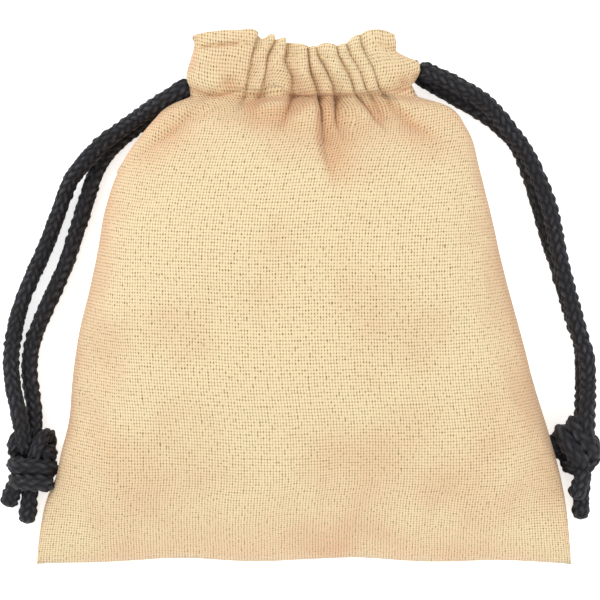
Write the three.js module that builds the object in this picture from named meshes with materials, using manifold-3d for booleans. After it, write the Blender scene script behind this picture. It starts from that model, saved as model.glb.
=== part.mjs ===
// A drawstring gift pouch lying on its back: two cloth panels sewn at the sides and bottom, a casing and a
// header frill across each panel's mouth edge, and two drawstrings that each run through both casings, turn
// round inside the far slit and come back to be knotted where they started.
// Millimetres. +X is across the pouch, +Y is towards the mouth and +Z is up from the table.
// The origin is the middle of the pouch, cords left out, on the table.
import * as THREE from "three";
import { mergeVertices } from "three/addons/utils/BufferGeometryUtils.js";
import Module from "manifold-3d";

// ---- Driving dimensions -------------------------------------------------------------------------------
const pouchWidth = 100; // across the bottom seam
const pouchHeight = 98.6; // bottom seam to the top of the header frill, mouth drawn closed
const pouchThickness = 25; // table to the crown of the front panel
const mouthWidth = 41.8; // across the gathered casings
const mouthGap = 5; // between the two facings, where things go in
const cloth = 0.5; // one ply of cotton sheeting
const cordDiameter = 3.5;
const clearance = 0.3; // between two pieces that touch on the real object
const headerHeight = 2.5; // frill above each casing
const seamAllowance = 5; // turned-in cloth along a seam, inside the pouch
const seamHeight = 1.2; // bottom seam above the table
const bightDepth = 4.2; // how far a drawstring's turn stands past the end of its straight runs
const drawTravel = 4; // how far a drawstring pulls out before the gathers are tight
const knotWidth = 9.4;
const knotLength = 11.8;
const knotHeight = 8.8;
const threadDiameter = 0.5;

// ---- Worked out from them -----------------------------------------------------------------------------
const cordRadius = cordDiameter / 2;
const bottomY = -pouchHeight / 2;
const mouthY = pouchHeight / 2;
const lanePitch = cordDiameter + clearance;
const casingHeight = 2 * cordDiameter + 3 * clearance + 2 * cloth;
const casingTopY = mouthY - headerHeight - clearance;
const casingBottomY = casingTopY - casingHeight;
const panelTopY = casingBottomY - clearance;
const lowLaneY = casingBottomY + cloth + clearance + cordRadius; // the left drawstring's lane
const highLaneY = lowLaneY + lanePitch; // the right drawstring's lane
const casingThickness = cordDiameter + 2 * clearance + 2 * cloth;
const backCasingZ = clearance; // underside of the back casing
const backLaneZ = backCasingZ + cloth + clearance + cordRadius;
const gapLowZ = backCasingZ + casingThickness;
const gapHighZ = gapLowZ + mouthGap;
const frontLaneZ = gapHighZ + cloth + clearance + cordRadius;
const mouthTopZ = gapHighZ + casingThickness;
const halfMouth = mouthWidth / 2;
const runEndX = halfMouth - bightDepth - cordRadius - 2 * clearance; // where a straight run meets the turn
const facingHalf = runEndX - drawTravel - clearance; // the facings stop short of the turns
const seamMidZ = (gapLowZ + gapHighZ) / 2; // side seams at the mouth

// ---- Materials ----------------------------------------------------------------------------------------
const cotton = new THREE.MeshStandardMaterial({ color: 0xf3d9a6, roughness: 0.9, metalness: 0 });
const cottonInside = new THREE.MeshStandardMaterial({ color: 0xe6c48e, roughness: 0.9, metalness: 0 });
const thread = new THREE.MeshStandardMaterial({ color: 0xe3bb80, roughness: 0.7, metalness: 0 });
const blackBraid = new THREE.MeshStandardMaterial({ color: 0x17171c, roughness: 0.65, metalness: 0 });

const part = new THREE.Group();
const wasm = await Module();
wasm.setup();

function add(name, geometry, material) {
  const mesh = new THREE.Mesh(geometry, material);
  mesh.name = name;
  part.add(mesh);
  return mesh;
}

// ---- The pouch's form ---------------------------------------------------------------------------------
// A smooth line through [y, value] pairs, read at a y.
function profile(pairs) {
  const ys = pairs.map((p) => p[0]);
  return (y) => {
    const last = pairs.length - 1;
    const at = Math.min(Math.max(y, ys[0]), ys[last]);
    let i = 0;
    while (i < last - 1 && at > ys[i + 1]) i++;
    const slope = (k) => {
      const a = Math.max(k - 1, 0);
      const b = Math.min(k + 1, last);
      return (pairs[b][1] - pairs[a][1]) / (ys[b] - ys[a]);
    };
    const span = ys[i + 1] - ys[i];
    const t = (at - ys[i]) / span;
    const [h00, h10] = [(1 + 2 * t) * (1 - t) ** 2, t * (1 - t) ** 2];
    const [h01, h11] = [t * t * (3 - 2 * t), t * t * (t - 1)];
    return (
      h00 * pairs[i][1] + h10 * span * slope(i) + h01 * pairs[i + 1][1] + h11 * span * slope(i + 1)
    );
  };
}

// Shares of the panel's length and of half the bottom width: the sides draw in towards the gathered mouth.
const panelLength = panelTopY - bottomY;
const along = (share) => bottomY + share * panelLength;
const halfBottom = pouchWidth / 2;
const sideLine = (shares) => profile(shares.map(([v, w]) => [along(v), w * halfBottom]));
const mouthShare = halfMouth / halfBottom;
const leftSide = sideLine([
  [0, 1], [0.07, 0.986], [0.145, 0.956], [0.19, 0.922], [0.232, 0.904], [0.31, 0.872], [0.396, 0.858],
  [0.64, 0.775], [0.78, 0.722], [0.84, 0.685], [0.91, 0.607], [0.945, 0.556], [0.97, 0.51], [1, mouthShare],
]);
const rightSide = sideLine([
  [0, 1], [0.07, 0.992], [0.13, 0.981], [0.18, 0.958], [0.27, 0.916], [0.38, 0.857], [0.64, 0.735],
  [0.78, 0.675], [0.85, 0.645], [0.93, 0.598], [0.975, 0.527], [1, mouthShare],
]);
const crown = profile([
  [along(0), seamHeight + 2 * cloth],
  [along(0.05), 0.3 * pouchThickness],
  [along(0.16), 0.62 * pouchThickness],
  [along(0.36), 0.92 * pouchThickness],
  [along(0.55), pouchThickness],
  [along(0.78), 0.92 * pouchThickness],
  [along(0.92), (pouchThickness + mouthTopZ) / 2 - 1],
  [along(1), mouthTopZ],
]);
const seamLine = profile([
  [along(0), seamHeight], [along(0.25), 0.6 * seamMidZ], [along(0.6), seamMidZ], [along(1), seamMidZ],
]);

// A panel as a sheet of cloth bent over a rounded section: turn is -1 to 1 from the left seam to the right.
// squareness is 2 for an ellipse and more for a section with a flatter middle.
function sheet(columns, rows, squareness, heightAt) {
  const box = new THREE.BoxGeometry(2, 1, 1, columns, rows, 1);
  const middle = (turn, v, target) => {
    const y = along(v);
    const angle = (turn * Math.PI) / 2;
    const power = 2 / squareness(v);
    const across = Math.sign(angle) * Math.abs(Math.sin(angle)) ** power;
    const up = Math.max(Math.cos(angle), 0) ** power;
    const half = (across < 0 ? leftSide(y) : rightSide(y)) - cloth / 2;
    return target.set(across * half, y, heightAt(y, up));
  };
  const at = box.getAttribute("position");
  const [point, ahead, behind, normal, other] = Array.from({ length: 5 }, () => new THREE.Vector3());
  const step = 1e-3;
  for (let i = 0; i < at.count; i++) {
    const [turn, v, ply] = [at.getX(i), at.getY(i) + 0.5, at.getZ(i)];
    middle(turn, v, point);
    middle(Math.min(turn + step, 1), v, ahead);
    middle(Math.max(turn - step, -1), v, behind);
    normal.subVectors(ahead, behind);
    middle(turn, Math.min(v + step, 1), ahead);
    middle(turn, Math.max(v - step, 0), behind);
    other.subVectors(ahead, behind);
    normal.cross(other).normalize();
    normal.y = 0; // a seam edge stays square to the seam
    normal.normalize();
    point.addScaledVector(normal, ply * cloth);
    at.setXYZ(i, point.x, point.y, point.z);
  }
  return box;
}

const plyOffset = (cloth + clearance) / 2;

function frontPanel() {
  const height = (y, up) => {
    const foot = seamLine(y) + plyOffset;
    return foot + (crown(y) - cloth / 2 - foot) * up;
  };
  add("front_panel", sheet(30, 30, (v) => 2.3 + 2.2 * v ** 4, height), cotton);
}

function backPanel() {
  const height = (y, up) => {
    const rim = seamLine(y) - plyOffset;
    const flat = cloth / 2 + clearance * THREE.MathUtils.smoothstep(y, along(0.8), along(1));
    return rim + (Math.min(flat, rim) - rim) * Math.min(1.1 * up, 1); // flat where it lies on the table
  };
  add("back_panel", sheet(26, 18, () => 4.5, height), cotton);
}

// ---- Seam allowances: folded cloth standing inwards from each seam, between the panels -------------------
function sideAllowance(name, side, sign) {
  const rows = 16;
  const box = new THREE.BoxGeometry(1, 1, cloth, 1, rows, 1);
  const at = box.getAttribute("position");
  const [low, high] = [0.16, 0.9]; // the ends lie clear of the bottom seam and of the slit
  for (let i = 0; i < at.count; i++) {
    const y = along(low + (high - low) * (at.getY(i) + 0.5));
    const inset = cloth + clearance + 0.4 + (0.5 - at.getX(i)) * seamAllowance;
    const x = side(y) - inset;
    at.setXYZ(i, x, y, seamLine(y) + at.getZ(i));
  }
  if (sign < 0) box.scale(-1, 1, 1);
  add(name, sign < 0 ? flipped(box) : box, cottonInside);
}

// Turns every face round, after a mirror has turned the solid inside out.
function flipped(geometry) {
  const index = geometry.index.array;
  for (let i = 0; i < index.length; i += 3) [index[i], index[i + 1]] = [index[i + 1], index[i]];
  return geometry;
}

function bottomAllowance() {
  const width = 2 * (halfBottom - seamAllowance - 4);
  const box = new THREE.BoxGeometry(width, seamAllowance, cloth, 12, 1, 1);
  const y = bottomY + clearance + 3 + seamAllowance / 2;
  box.translate(0, y, cloth + 1.4 * clearance + cloth / 2);
  add("bottom_seam_allowance", box, cottonInside);
}

// ---- Casings, facings and headers -----------------------------------------------------------------------
// Extrudes an outline drawn in the Y-Z plane along X, from -half to +half.
function acrossMouth(outline, half, cuts = 14) {
  const geometry = new THREE.ExtrudeGeometry(outline, {
    depth: 2 * half, bevelEnabled: false, steps: cuts, curveSegments: 6,
  });
  const yzx = new THREE.Matrix4().set(0, 0, 1, -half, 1, 0, 0, 0, 0, 1, 0, 0, 0, 0, 0, 1);
  return geometry.applyMatrix4(yzx);
}

// The casing's outer ply arches over both lanes. base is the height of its feet and rise is +1 for the front.
function casing(name, base, rise) {
  const height = casingThickness - cloth - clearance;
  const arch = (inset) => {
    const [y0, y1, top, round] = [casingBottomY + inset, casingTopY - inset, height - inset, 1.6 - inset];
    return [
      [y0, 0], [y0, top - round], [y0 + 0.3 * round, top - 0.3 * round], [y0 + round, top],
      [y1 - round, top], [y1 - 0.3 * round, top - 0.3 * round], [y1, top - round], [y1, 0],
    ].map(([y, z]) => new THREE.Vector2(y, base + rise * z));
  };
  const outline = [...arch(0), ...arch(cloth).reverse()];
  add(name, acrossMouth(new THREE.Shape(outline), halfMouth), cotton);
}

function rectangle(y0, y1, z0, z1) {
  return new THREE.Shape([
    new THREE.Vector2(y0, z0), new THREE.Vector2(y1, z0), new THREE.Vector2(y1, z1), new THREE.Vector2(y0, z1),
  ]);
}

function mouthEdge(side, innerZ, rise) {
  const plyEnd = innerZ + rise * cloth;
  const [low, high] = [Math.min(innerZ, plyEnd), Math.max(innerZ, plyEnd)];
  const facing = rectangle(casingBottomY, casingTopY, low, high);
  add(`${side}_facing`, acrossMouth(facing, facingHalf, 8), cottonInside);
  casing(`${side}_casing`, plyEnd + rise * clearance, rise);
  const headerZ = innerZ + rise * (casingThickness / 2);
  const frill = rectangle(mouthY - headerHeight, mouthY, headerZ - cloth, headerZ + cloth);
  add(`${side}_header`, acrossMouth(frill, halfMouth - 1.5, 10), cotton);
}

// A row of stitches: a thread laid along the casing's edge, just off the cloth.
function stitching(name, y, z) {
  const row = new THREE.CylinderGeometry(threadDiameter / 2, threadDiameter / 2, 2 * (halfMouth - 2), 8);
  row.rotateZ(Math.PI / 2);
  row.translate(0, y, z);
  add(name, row, thread);
}

function stitchRow(side, innerZ, rise) {
  const headerOuterZ = innerZ + rise * (casingThickness / 2 + cloth);
  const y = mouthY - headerHeight + clearance + threadDiameter / 2;
  stitching(`${side}_stitching`, y, headerOuterZ + rise * (clearance + threadDiameter / 2));
}

// ---- Drawstrings ----------------------------------------------------------------------------------------
function tube(points, steps, tension = 0.5) {
  const path = new THREE.CatmullRomCurve3(points, false, "catmullrom", tension);
  const ring = new THREE.Shape();
  ring.absarc(0, 0, cordRadius, 0, 2 * Math.PI);
  return new THREE.ExtrudeGeometry(ring, { steps, curveSegments: 4, bevelEnabled: false, extrudePath: path });
}

const point = (x, y, z) => new THREE.Vector3(x, y, z);

// The size the routes below are drawn for; fitted() carries them to the pouch's own size.
const drawn = { halfMouth: 20.9, halfBottom: 50, mouthY: 49.3, knotY: -28.5, knotTopY: -21, cordRadius: 1.75 };

// A thicker cord needs its two strands further apart, so the outer strand is pushed outwards.
function fitted([x, y, z], isOuter = false) {
  const share = (Math.abs(x) - drawn.halfMouth) / (drawn.halfBottom - drawn.halfMouth);
  const push = isOuter ? 2 * (cordRadius - drawn.cordRadius) : 0;
  const out = halfMouth + share * (halfBottom - halfMouth) + push;
  const shift = drawn.knotY * (mouthY / drawn.mouthY - 1); // the knot and all below it move together
  const above = Math.max(y - drawn.knotTopY, 0) / (drawn.mouthY - drawn.knotTopY);
  const stretch = above * (mouthY - drawn.mouthY - shift);
  return point(Math.sign(x) * out, y + shift + stretch, (z * cordRadius) / drawn.cordRadius);
}

// The route of each tail, from just outside its casing to its knot. Cords lie on the table, on the shoulder
// of the pouch or on one another.
const tailRoutes = {
  left_front_tail: [
    [-24.6, 38.1, 12.2], [-27.4, 36.3, 10.2], [-30.4, 34.3, 7.6], [-33.4, 32.2, 6], [-37.1, 29.6, 5.4],
    [-39.8, 27, 5], [-42, 24.4, 4.3], [-43.8, 21.6, 3.2], [-45.8, 16.4, 1.9], [-47.9, 10.8, 1.8],
    [-50.4, 5.2, 1.8], [-52.6, -0.3, 1.8], [-54, -5.8, 2.4], [-54.6, -11, 3.5], [-54.1, -16.2, 4.1],
    [-53.3, -19.6, 4.6], [-52.6, -22.8, 5.5],
  ],
  left_back_tail: [
    [-24.6, 37.6, 2.3], [-28.8, 34.7, 1.8], [-33, 31.6, 1.8], [-35.9, 28.8, 1.8], [-37.8, 26, 1.8],
    [-39.2, 23.2, 1.8], [-40.9, 17.6, 1.8], [-42.7, 12.1, 1.8], [-44.6, 6.5, 1.8], [-46.9, 1.1, 1.8],
    [-49.2, -4, 1.8], [-50.7, -8, 1.8], [-51.3, -12, 1.8], [-51, -16.2, 1.8], [-50.4, -19.6, 1.9],
    [-50.2, -22.8, 2.3],
  ],
  right_front_tail: [
    [24.4, 42.1, 12.2], [27.2, 40.9, 10.9], [30.4, 39.2, 9], [33.8, 36.6, 7.2], [37.4, 32.7, 5.8],
    [41.2, 27.5, 5.6], [43.7, 22.2, 5.6], [45.6, 16.7, 5.6], [46.9, 11.1, 5.6], [48.1, 5.5, 5.6],
    [49.5, -0.3, 5.6], [51.1, -6.1, 5.6], [52.9, -11.1, 5.6], [52.9, -16.6, 5.6], [52.4, -21.3, 5.9],
  ],
  right_back_tail: [
    [24.4, 41.5, 2.4], [27.4, 39.1, 1.8], [30.6, 37, 1.8], [34.2, 34.7, 1.8], [37.4, 31.8, 1.8],
    [40, 28.6, 1.8], [42.2, 23.2, 1.8], [43.9, 17.5, 1.8], [45.5, 12, 1.8], [47.3, 6.5, 1.8],
    [48.9, 0.7, 1.8], [50.6, -4.6, 1.8], [51.8, -8, 1.8], [52.2, -12, 1.8], [52.1, -16.6, 1.8],
    [52, -21.4, 1.8],
  ],
};
// The cut ends below each knot.
const endRoutes = {
  left_front_end: [[-54.4, -35.4, 2.6], [-55.1, -37.2, 2.2], [-55.5, -39, 1.9]],
  left_back_end: [[-50.4, -35.7, 2.4], [-51.1, -38.6, 1.9], [-51.6, -41.9, 1.8]],
  right_front_end: [[52.2, -34.1, 1.9], [52.2, -37, 1.8], [51.9, -40.8, 1.8]],
  right_back_end: [[51.2, -34.1, 5.6], [51, -35.6, 5.5], [50.7, -37.2, 5.5]],
};
const knotPlaces = { left: [-51.6, -29.2, 4.5], right: [51.6, -27.7, 4.5] };

function tails(side, laneY, sign) {
  for (const [face, laneZ] of [["front", frontLaneZ], ["back", backLaneZ]]) {
    const name = `${side}_${face}_tail`;
    const lead = [halfMouth, halfMouth + 1].map((x) => point(sign * x, laneY, laneZ));
    const route = tailRoutes[name].map((p) => fitted(p, face === "front"));
    add(name, tube([...lead, ...route], 28), blackBraid);
  }
}

function cutEnds() {
  for (const [name, list] of Object.entries(endRoutes)) {
    const route = list.map((p) => fitted(p, name.includes("front")));
    add(name, tube(route, 3), blackBraid);
  }
}

function solid(geometry) {
  const bare = new THREE.BufferGeometry();
  bare.setAttribute("position", geometry.getAttribute("position"));
  if (geometry.index) bare.setIndex(geometry.index);
  const merged = mergeVertices(bare, 1e-4);
  return new wasm.Manifold(
    new wasm.Mesh({
      numProp: 3,
      vertProperties: new Float32Array(merged.getAttribute("position").array),
      triVerts: new Uint32Array(merged.index.array),
    }),
  );
}

function geometryOf(manifold) {
  const mesh = manifold.getMesh();
  const geometry = new THREE.BufferGeometry();
  geometry.setAttribute("position", new THREE.BufferAttribute(mesh.vertProperties, 3));
  geometry.setIndex(new THREE.BufferAttribute(mesh.triVerts, 1));
  return geometry;
}

// An overhand knot tied in both tails together: a tight core with three wraps of cord round it.
function knots() {
  for (const [side, place] of Object.entries(knotPlaces)) {
    const sign = side === "left" ? -1 : 1;
    const ring = new THREE.TorusGeometry(0.36, 0.14, 8, 20);
    const core = new THREE.SphereGeometry(0.4, 16, 12);
    let whole = solid(core.scale(1, 1.1, 1));
    for (const [tiltX, tiltY, shift] of [[1.15, 0.25, 0.16], [1.75, -0.2, -0.14], [0.35, 0.3, 0]]) {
      const wrap = ring.clone().rotateX(tiltX).rotateY(sign * tiltY);
      whole = whole.add(solid(wrap.translate(0, shift, 0)));
    }
    const [low, high] = [whole.boundingBox().min, whole.boundingBox().max];
    const size = [knotWidth, knotLength, knotHeight];
    const grow = size.map((length, k) => length / (high[k] - low[k]));
    const middle = fitted(place);
    const centred = whole.translate(low.map((_, k) => -(low[k] + high[k]) / 2)).scale(grow);
    const lifted = centred.translate([middle.x, middle.y, knotHeight / 2 + 0.1]);
    add(`${side}_knot`, geometryOf(lifted), blackBraid);
  }
}

// Inside the casings: a straight run in each, joined by a turn behind the far slit, in two halves.
function insideRuns(side, laneY, sign) {
  const exit = -sign * (halfMouth - clearance);
  const turn = sign * runEndX;
  const run = (z) => tube([point(exit, laneY, z), point(turn, laneY, z)], 4);
  add(`${side}_front_run`, run(frontLaneZ), blackBraid);
  add(`${side}_back_run`, run(backLaneZ), blackBraid);
  const lead = 0.4;
  const start = sign * (runEndX + clearance);
  const [middleZ, halfRise] = [(frontLaneZ + backLaneZ) / 2, (frontLaneZ - backLaneZ) / 2];
  for (const [half, up] of [["upper", 1], ["lower", -1]]) {
    const bend = [point(start, laneY, middleZ + up * halfRise)];
    for (let i = 0; i <= 6; i++) {
      const angle = (Math.PI * i) / 12;
      const out = lead + (bightDepth - lead) * Math.sin(angle);
      bend.push(point(start + sign * out, laneY, middleZ + up * halfRise * Math.cos(angle)));
    }
    bend.pop();
    const end = middleZ + (up * clearance) / 2;
    bend.push(point(start + sign * bightDepth, laneY, end + up * 0.6));
    bend.push(point(start + sign * bightDepth, laneY, end));
    add(`${side}_${half}_turn`, tube(bend, 10), blackBraid);
  }
}

// ---- Assembly -------------------------------------------------------------------------------------------
frontPanel();
backPanel();
sideAllowance("left_seam_allowance", leftSide, -1);
sideAllowance("right_seam_allowance", rightSide, 1);
bottomAllowance();
mouthEdge("back", gapLowZ, -1);
mouthEdge("front", gapHighZ, 1);
stitchRow("front", gapHighZ, 1);
stitchRow("back", gapLowZ, -1);
insideRuns("left", lowLaneY, 1);
insideRuns("right", highLaneY, -1);
tails("left", lowLaneY, -1);
tails("right", highLaneY, 1);
cutEnds();
knots();

export default part;
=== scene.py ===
# %% [markdown]
# # A drawstring gift pouch
# This lesson makes a small cotton muslin pouch that lies on its back with its mouth drawn shut by two
# black braided cords. The solid parts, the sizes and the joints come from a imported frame. Blender adds
# what makes cloth look like cloth: pleats, a weave with pinholes, a soft braid and real knots.

# %% Load the frame
import math
import bpy
import numpy as np
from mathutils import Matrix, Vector


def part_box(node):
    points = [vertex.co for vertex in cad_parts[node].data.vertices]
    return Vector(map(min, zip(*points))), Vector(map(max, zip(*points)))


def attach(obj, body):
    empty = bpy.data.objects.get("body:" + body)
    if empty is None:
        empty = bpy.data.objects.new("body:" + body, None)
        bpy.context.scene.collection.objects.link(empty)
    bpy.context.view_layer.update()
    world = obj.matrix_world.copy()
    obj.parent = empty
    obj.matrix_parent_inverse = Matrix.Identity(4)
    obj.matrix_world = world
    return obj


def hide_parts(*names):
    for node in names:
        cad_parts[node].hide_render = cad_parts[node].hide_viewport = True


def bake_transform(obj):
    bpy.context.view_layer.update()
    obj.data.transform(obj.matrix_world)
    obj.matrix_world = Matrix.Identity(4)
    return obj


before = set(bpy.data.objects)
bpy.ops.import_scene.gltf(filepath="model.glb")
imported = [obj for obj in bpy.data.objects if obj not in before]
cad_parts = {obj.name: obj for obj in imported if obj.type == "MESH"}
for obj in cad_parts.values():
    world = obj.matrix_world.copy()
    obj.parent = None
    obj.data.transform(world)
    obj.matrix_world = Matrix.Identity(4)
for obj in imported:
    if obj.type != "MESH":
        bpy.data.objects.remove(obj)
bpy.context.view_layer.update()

MM = 0.001

# %% [markdown]
# ## The camera
# The pouch is looked at from straight above, from far enough away that its sides don't lean. A long lens
# at 0.62 m shows a patch about 112 mm wide.

# %% Camera
bpy.ops.object.select_all(action="DESELECT")
LENS_MM = 200
SENSOR_MM = 36
SEEN_WIDTH = 112.4 * MM
camera_height = SEEN_WIDTH * LENS_MM / SENSOR_MM
bpy.ops.object.camera_add(location=(-0.75 * MM, 0, camera_height), rotation=(0, 0, 0))
camera = bpy.context.object
camera.name = "camera"
camera.data.lens = LENS_MM
camera.data.sensor_width = SENSOR_MM
bpy.context.scene.camera = camera
print("camera height", round(camera_height, 3), "m")

# %% [markdown]
# ## Sizes read from the frame
# Nothing is measured twice. The mouth, the casings and the panels are where the frame's boxes say, so a
# change there moves the cloth too.

# %% Boxes of the parts
panel_low, panel_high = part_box("front_panel")
casing_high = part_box("front_casing")[1]
front_facing_low, front_facing_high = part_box("front_facing")
back_facing_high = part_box("back_facing")[1]
BOTTOM_Y = panel_low[1]
PANEL_TOP_Y = panel_high[1]
CROWN_Z = panel_high[2]
HALF_BOTTOM = panel_high[0]
HALF_MOUTH = casing_high[0]
LIP_TOP_Z = casing_high[2]
GAP_HIGH_Z = front_facing_low[2]
GAP_LOW_Z = back_facing_high[2]
SEAM_Z = (GAP_HIGH_Z + GAP_LOW_Z) / 2
FACING_HALF = front_facing_high[0] - 0.2 * MM
PANEL_LENGTH = PANEL_TOP_Y - BOTTOM_Y
CLOTH = 0.45 * MM
CORD_RADIUS = 1.75 * MM
print("panel length", round(PANEL_LENGTH, 4), "mouth half width", round(HALF_MOUTH, 4))


# %% [markdown]
# ## Mesh helpers
# Cloth and cords bend too freely to be built from primitives, so they are grids of points worked out with
# numpy: rows along the piece, columns round it or across it. One helper turns a grid into a mesh with a
# UV map in metres of real cloth or cord. A weave or a braid drawn on that map then keeps its true scale
# wherever the surface bends. `keep` leaves faces out, and `caps` closes the ends of a tube.

# %% Grid to mesh
def mesh_from_grid(name, points, uv, closed=False, caps=False, keep=None):
    rows, columns = points.shape[:2]
    vertices = [tuple(p) for p in points.reshape(-1, 3)]
    faces = []
    corners = []
    across = columns if closed else columns - 1
    for r in range(rows - 1):
        for c in range(across):
            if keep is not None and not keep(r, c):
                continue
            d = (c + 1) % columns
            faces.append((r * columns + c, r * columns + d, (r + 1) * columns + d, (r + 1) * columns + c))
            corners.append([(r, c), (r, c + 1), (r + 1, c + 1), (r + 1, c)])
    if caps:
        for r, flip in ((0, True), (rows - 1, False)):
            middle = len(vertices)
            vertices.append(tuple(points[r].mean(axis=0)))
            for c in range(columns):
                d = (c + 1) % columns
                ring = (r * columns + d, r * columns + c) if flip else (r * columns + c, r * columns + d)
                faces.append((*ring, middle))
                corners.append([(r, c), (r, c), (r, c)])
    mesh = bpy.data.meshes.new(name)
    mesh.from_pydata(vertices, [], faces)
    layer = mesh.uv_layers.new(name="cloth_uv")
    flat = []
    for face in corners:
        for r, c in face:
            flat.extend(uv[r, min(c, uv.shape[1] - 1)])
    layer.data.foreach_set("uv", flat)
    mesh.validate()
    mesh.update()
    piece = bpy.data.objects.new(name, mesh)
    bpy.context.collection.objects.link(piece)
    mesh.shade_smooth()
    return piece


def arc_lengths(points, axis):
    gaps = np.linalg.norm(np.diff(points, axis=axis), axis=-1)
    pad = [(0, 0)] * gaps.ndim
    pad[axis] = (1, 0)
    return np.cumsum(np.pad(gaps, pad), axis=axis)


def surface_normal(grid):
    normal = np.cross(np.gradient(grid, axis=1), np.gradient(grid, axis=0))
    return normal / np.maximum(np.linalg.norm(normal, axis=2), 1e-12)[..., None]


def only(piece):
    bpy.ops.object.select_all(action="DESELECT")
    piece.select_set(True)
    bpy.context.view_layer.objects.active = piece


def smooth(low, high, value):
    t = np.clip((value - low) / (high - low), 0, 1)
    return t * t * (3 - 2 * t)


print("halfway up a smooth step:", float(smooth(0, 1, 0.5)))


# %% [markdown]
# ## The cords
# Each drawstring leaves its casing as two strands. A cord could be left to fall in a simulation, but how
# these lie is known, so their routes are listed points in metres, as in the solid model: out of the
# casing, down over the shoulder of the pouch, along the table, and into a knot. Here they run on into the
# knot, and they leave the casing a little lower than the solid ones, where the soft cloth lets them sink.

# %% Routes of the four tails
LOW_LANE_Y = 40.15 * MM
HIGH_LANE_Y = 43.95 * MM
FRONT_LANE_Z = 12.95 * MM
BACK_LANE_Z = 2.85 * MM
ROUTES = {
    "left_front_tail": [
        (-0.0209, 0.0397, FRONT_LANE_Z), (-0.0219, 0.0393, FRONT_LANE_Z),
        (-0.0246, 0.0375, 0.0122), (-0.0274, 0.0359, 0.0102), (-0.0304, 0.0340, 0.0076),
        (-0.0334, 0.0320, 0.0060), (-0.0371, 0.0294, 0.0054), (-0.0398, 0.0268, 0.0050),
        (-0.0420, 0.0242, 0.0043), (-0.0438, 0.0216, 0.0032), (-0.0458, 0.0164, 0.0019),
        (-0.0479, 0.0108, 0.0018), (-0.0504, 0.0052, 0.0018), (-0.0526, -0.0003, 0.0018),
        (-0.0540, -0.0058, 0.0024), (-0.0546, -0.0110, 0.0035), (-0.0541, -0.0162, 0.0041),
        (-0.0533, -0.0196, 0.0046), (-0.0526, -0.0228, 0.0055), (-0.0520, -0.0262, 0.0054),
        (-0.0515, -0.0285, 0.0045),
    ],
    "left_back_tail": [
        (-0.0209, 0.0394, BACK_LANE_Z), (-0.0219, 0.0388, BACK_LANE_Z),
        (-0.0246, 0.0368, 0.0023), (-0.0288, 0.0341, 0.0018), (-0.0330, 0.0311, 0.0018),
        (-0.0359, 0.0284, 0.0018), (-0.0378, 0.0258, 0.0018), (-0.0392, 0.0230, 0.0018),
        (-0.0409, 0.0176, 0.0018), (-0.0427, 0.0121, 0.0018), (-0.0446, 0.0065, 0.0018),
        (-0.0469, 0.0011, 0.0018), (-0.0492, -0.0040, 0.0018), (-0.0507, -0.0080, 0.0018),
        (-0.0513, -0.0120, 0.0018), (-0.0510, -0.0162, 0.0018), (-0.0504, -0.0196, 0.0020),
        (-0.0502, -0.0228, 0.0028), (-0.0501, -0.0260, 0.0040), (-0.0503, -0.0285, 0.0042),
    ],
    "right_front_tail": [
        (0.0209, 0.0426, FRONT_LANE_Z), (0.0219, 0.0423, FRONT_LANE_Z),
        (0.0244, 0.0413, 0.0122), (0.0272, 0.0402, 0.0109), (0.0304, 0.0387, 0.0090),
        (0.0338, 0.0363, 0.0072), (0.0374, 0.0325, 0.0058), (0.0412, 0.0275, 0.0056),
        (0.0437, 0.0222, 0.0056), (0.0456, 0.0167, 0.0056), (0.0469, 0.0111, 0.0056),
        (0.0481, 0.0055, 0.0056), (0.0495, -0.0003, 0.0056), (0.0511, -0.0061, 0.0056),
        (0.0526, -0.0111, 0.0056), (0.0527, -0.0166, 0.0056), (0.0524, -0.0208, 0.0064),
        (0.0523, -0.0238, 0.0072), (0.0520, -0.0262, 0.0058), (0.0516, -0.0280, 0.0042),
    ],
    "right_back_tail": [
        (0.0209, 0.0420, BACK_LANE_Z), (0.0219, 0.0413, BACK_LANE_Z),
        (0.0244, 0.0399, 0.0024), (0.0274, 0.0383, 0.0018), (0.0306, 0.0364, 0.0018),
        (0.0342, 0.0342, 0.0018), (0.0374, 0.0315, 0.0018), (0.0400, 0.0286, 0.0018),
        (0.0422, 0.0232, 0.0018), (0.0439, 0.0175, 0.0018), (0.0455, 0.0120, 0.0018),
        (0.0473, 0.0065, 0.0018), (0.0489, 0.0007, 0.0018), (0.0506, -0.0046, 0.0018),
        (0.0518, -0.0080, 0.0018), (0.0521, -0.0120, 0.0018), (0.0521, -0.0166, 0.0018),
        (0.0520, -0.0214, 0.0022), (0.0518, -0.0248, 0.0034), (0.0515, -0.0275, 0.0040),
    ],
}
END_ROUTES = {
    "left_front_end": [(-0.0530, -0.0325, 0.0036), (-0.0540, -0.0350, 0.0028), (-0.0548, -0.0367, 0.0022),
                       (-0.0554, -0.0386, 0.0018)],
    "left_back_end": [(-0.0509, -0.0330, 0.0032), (-0.0512, -0.0357, 0.0025), (-0.0515, -0.0386, 0.0019),
                      (-0.0518, -0.0418, 0.0018)],
    "right_front_end": [(0.0520, -0.0310, 0.0026), (0.0520, -0.0341, 0.0019), (0.0518, -0.0370, 0.0018),
                        (0.0516, -0.0410, 0.0018)],
    "right_back_end": [(0.0520, -0.0310, 0.0060), (0.0515, -0.0335, 0.0056), (0.0509, -0.0354, 0.0052),
                       (0.0502, -0.0370, 0.0050)],
}
print("hand-placed points:", sum(len(route) for route in ROUTES.values()))


# %% [markdown]
# A few points make a smooth cord when a curve runs through them. The curve here is a Catmull-Rom spline,
# cut into equal steps and smoothed a little, so that the braid's pattern isn't stretched where the points
# lie far apart.

# %% A smooth line through listed points
LINE_STEP = 0.3 * MM


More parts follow.
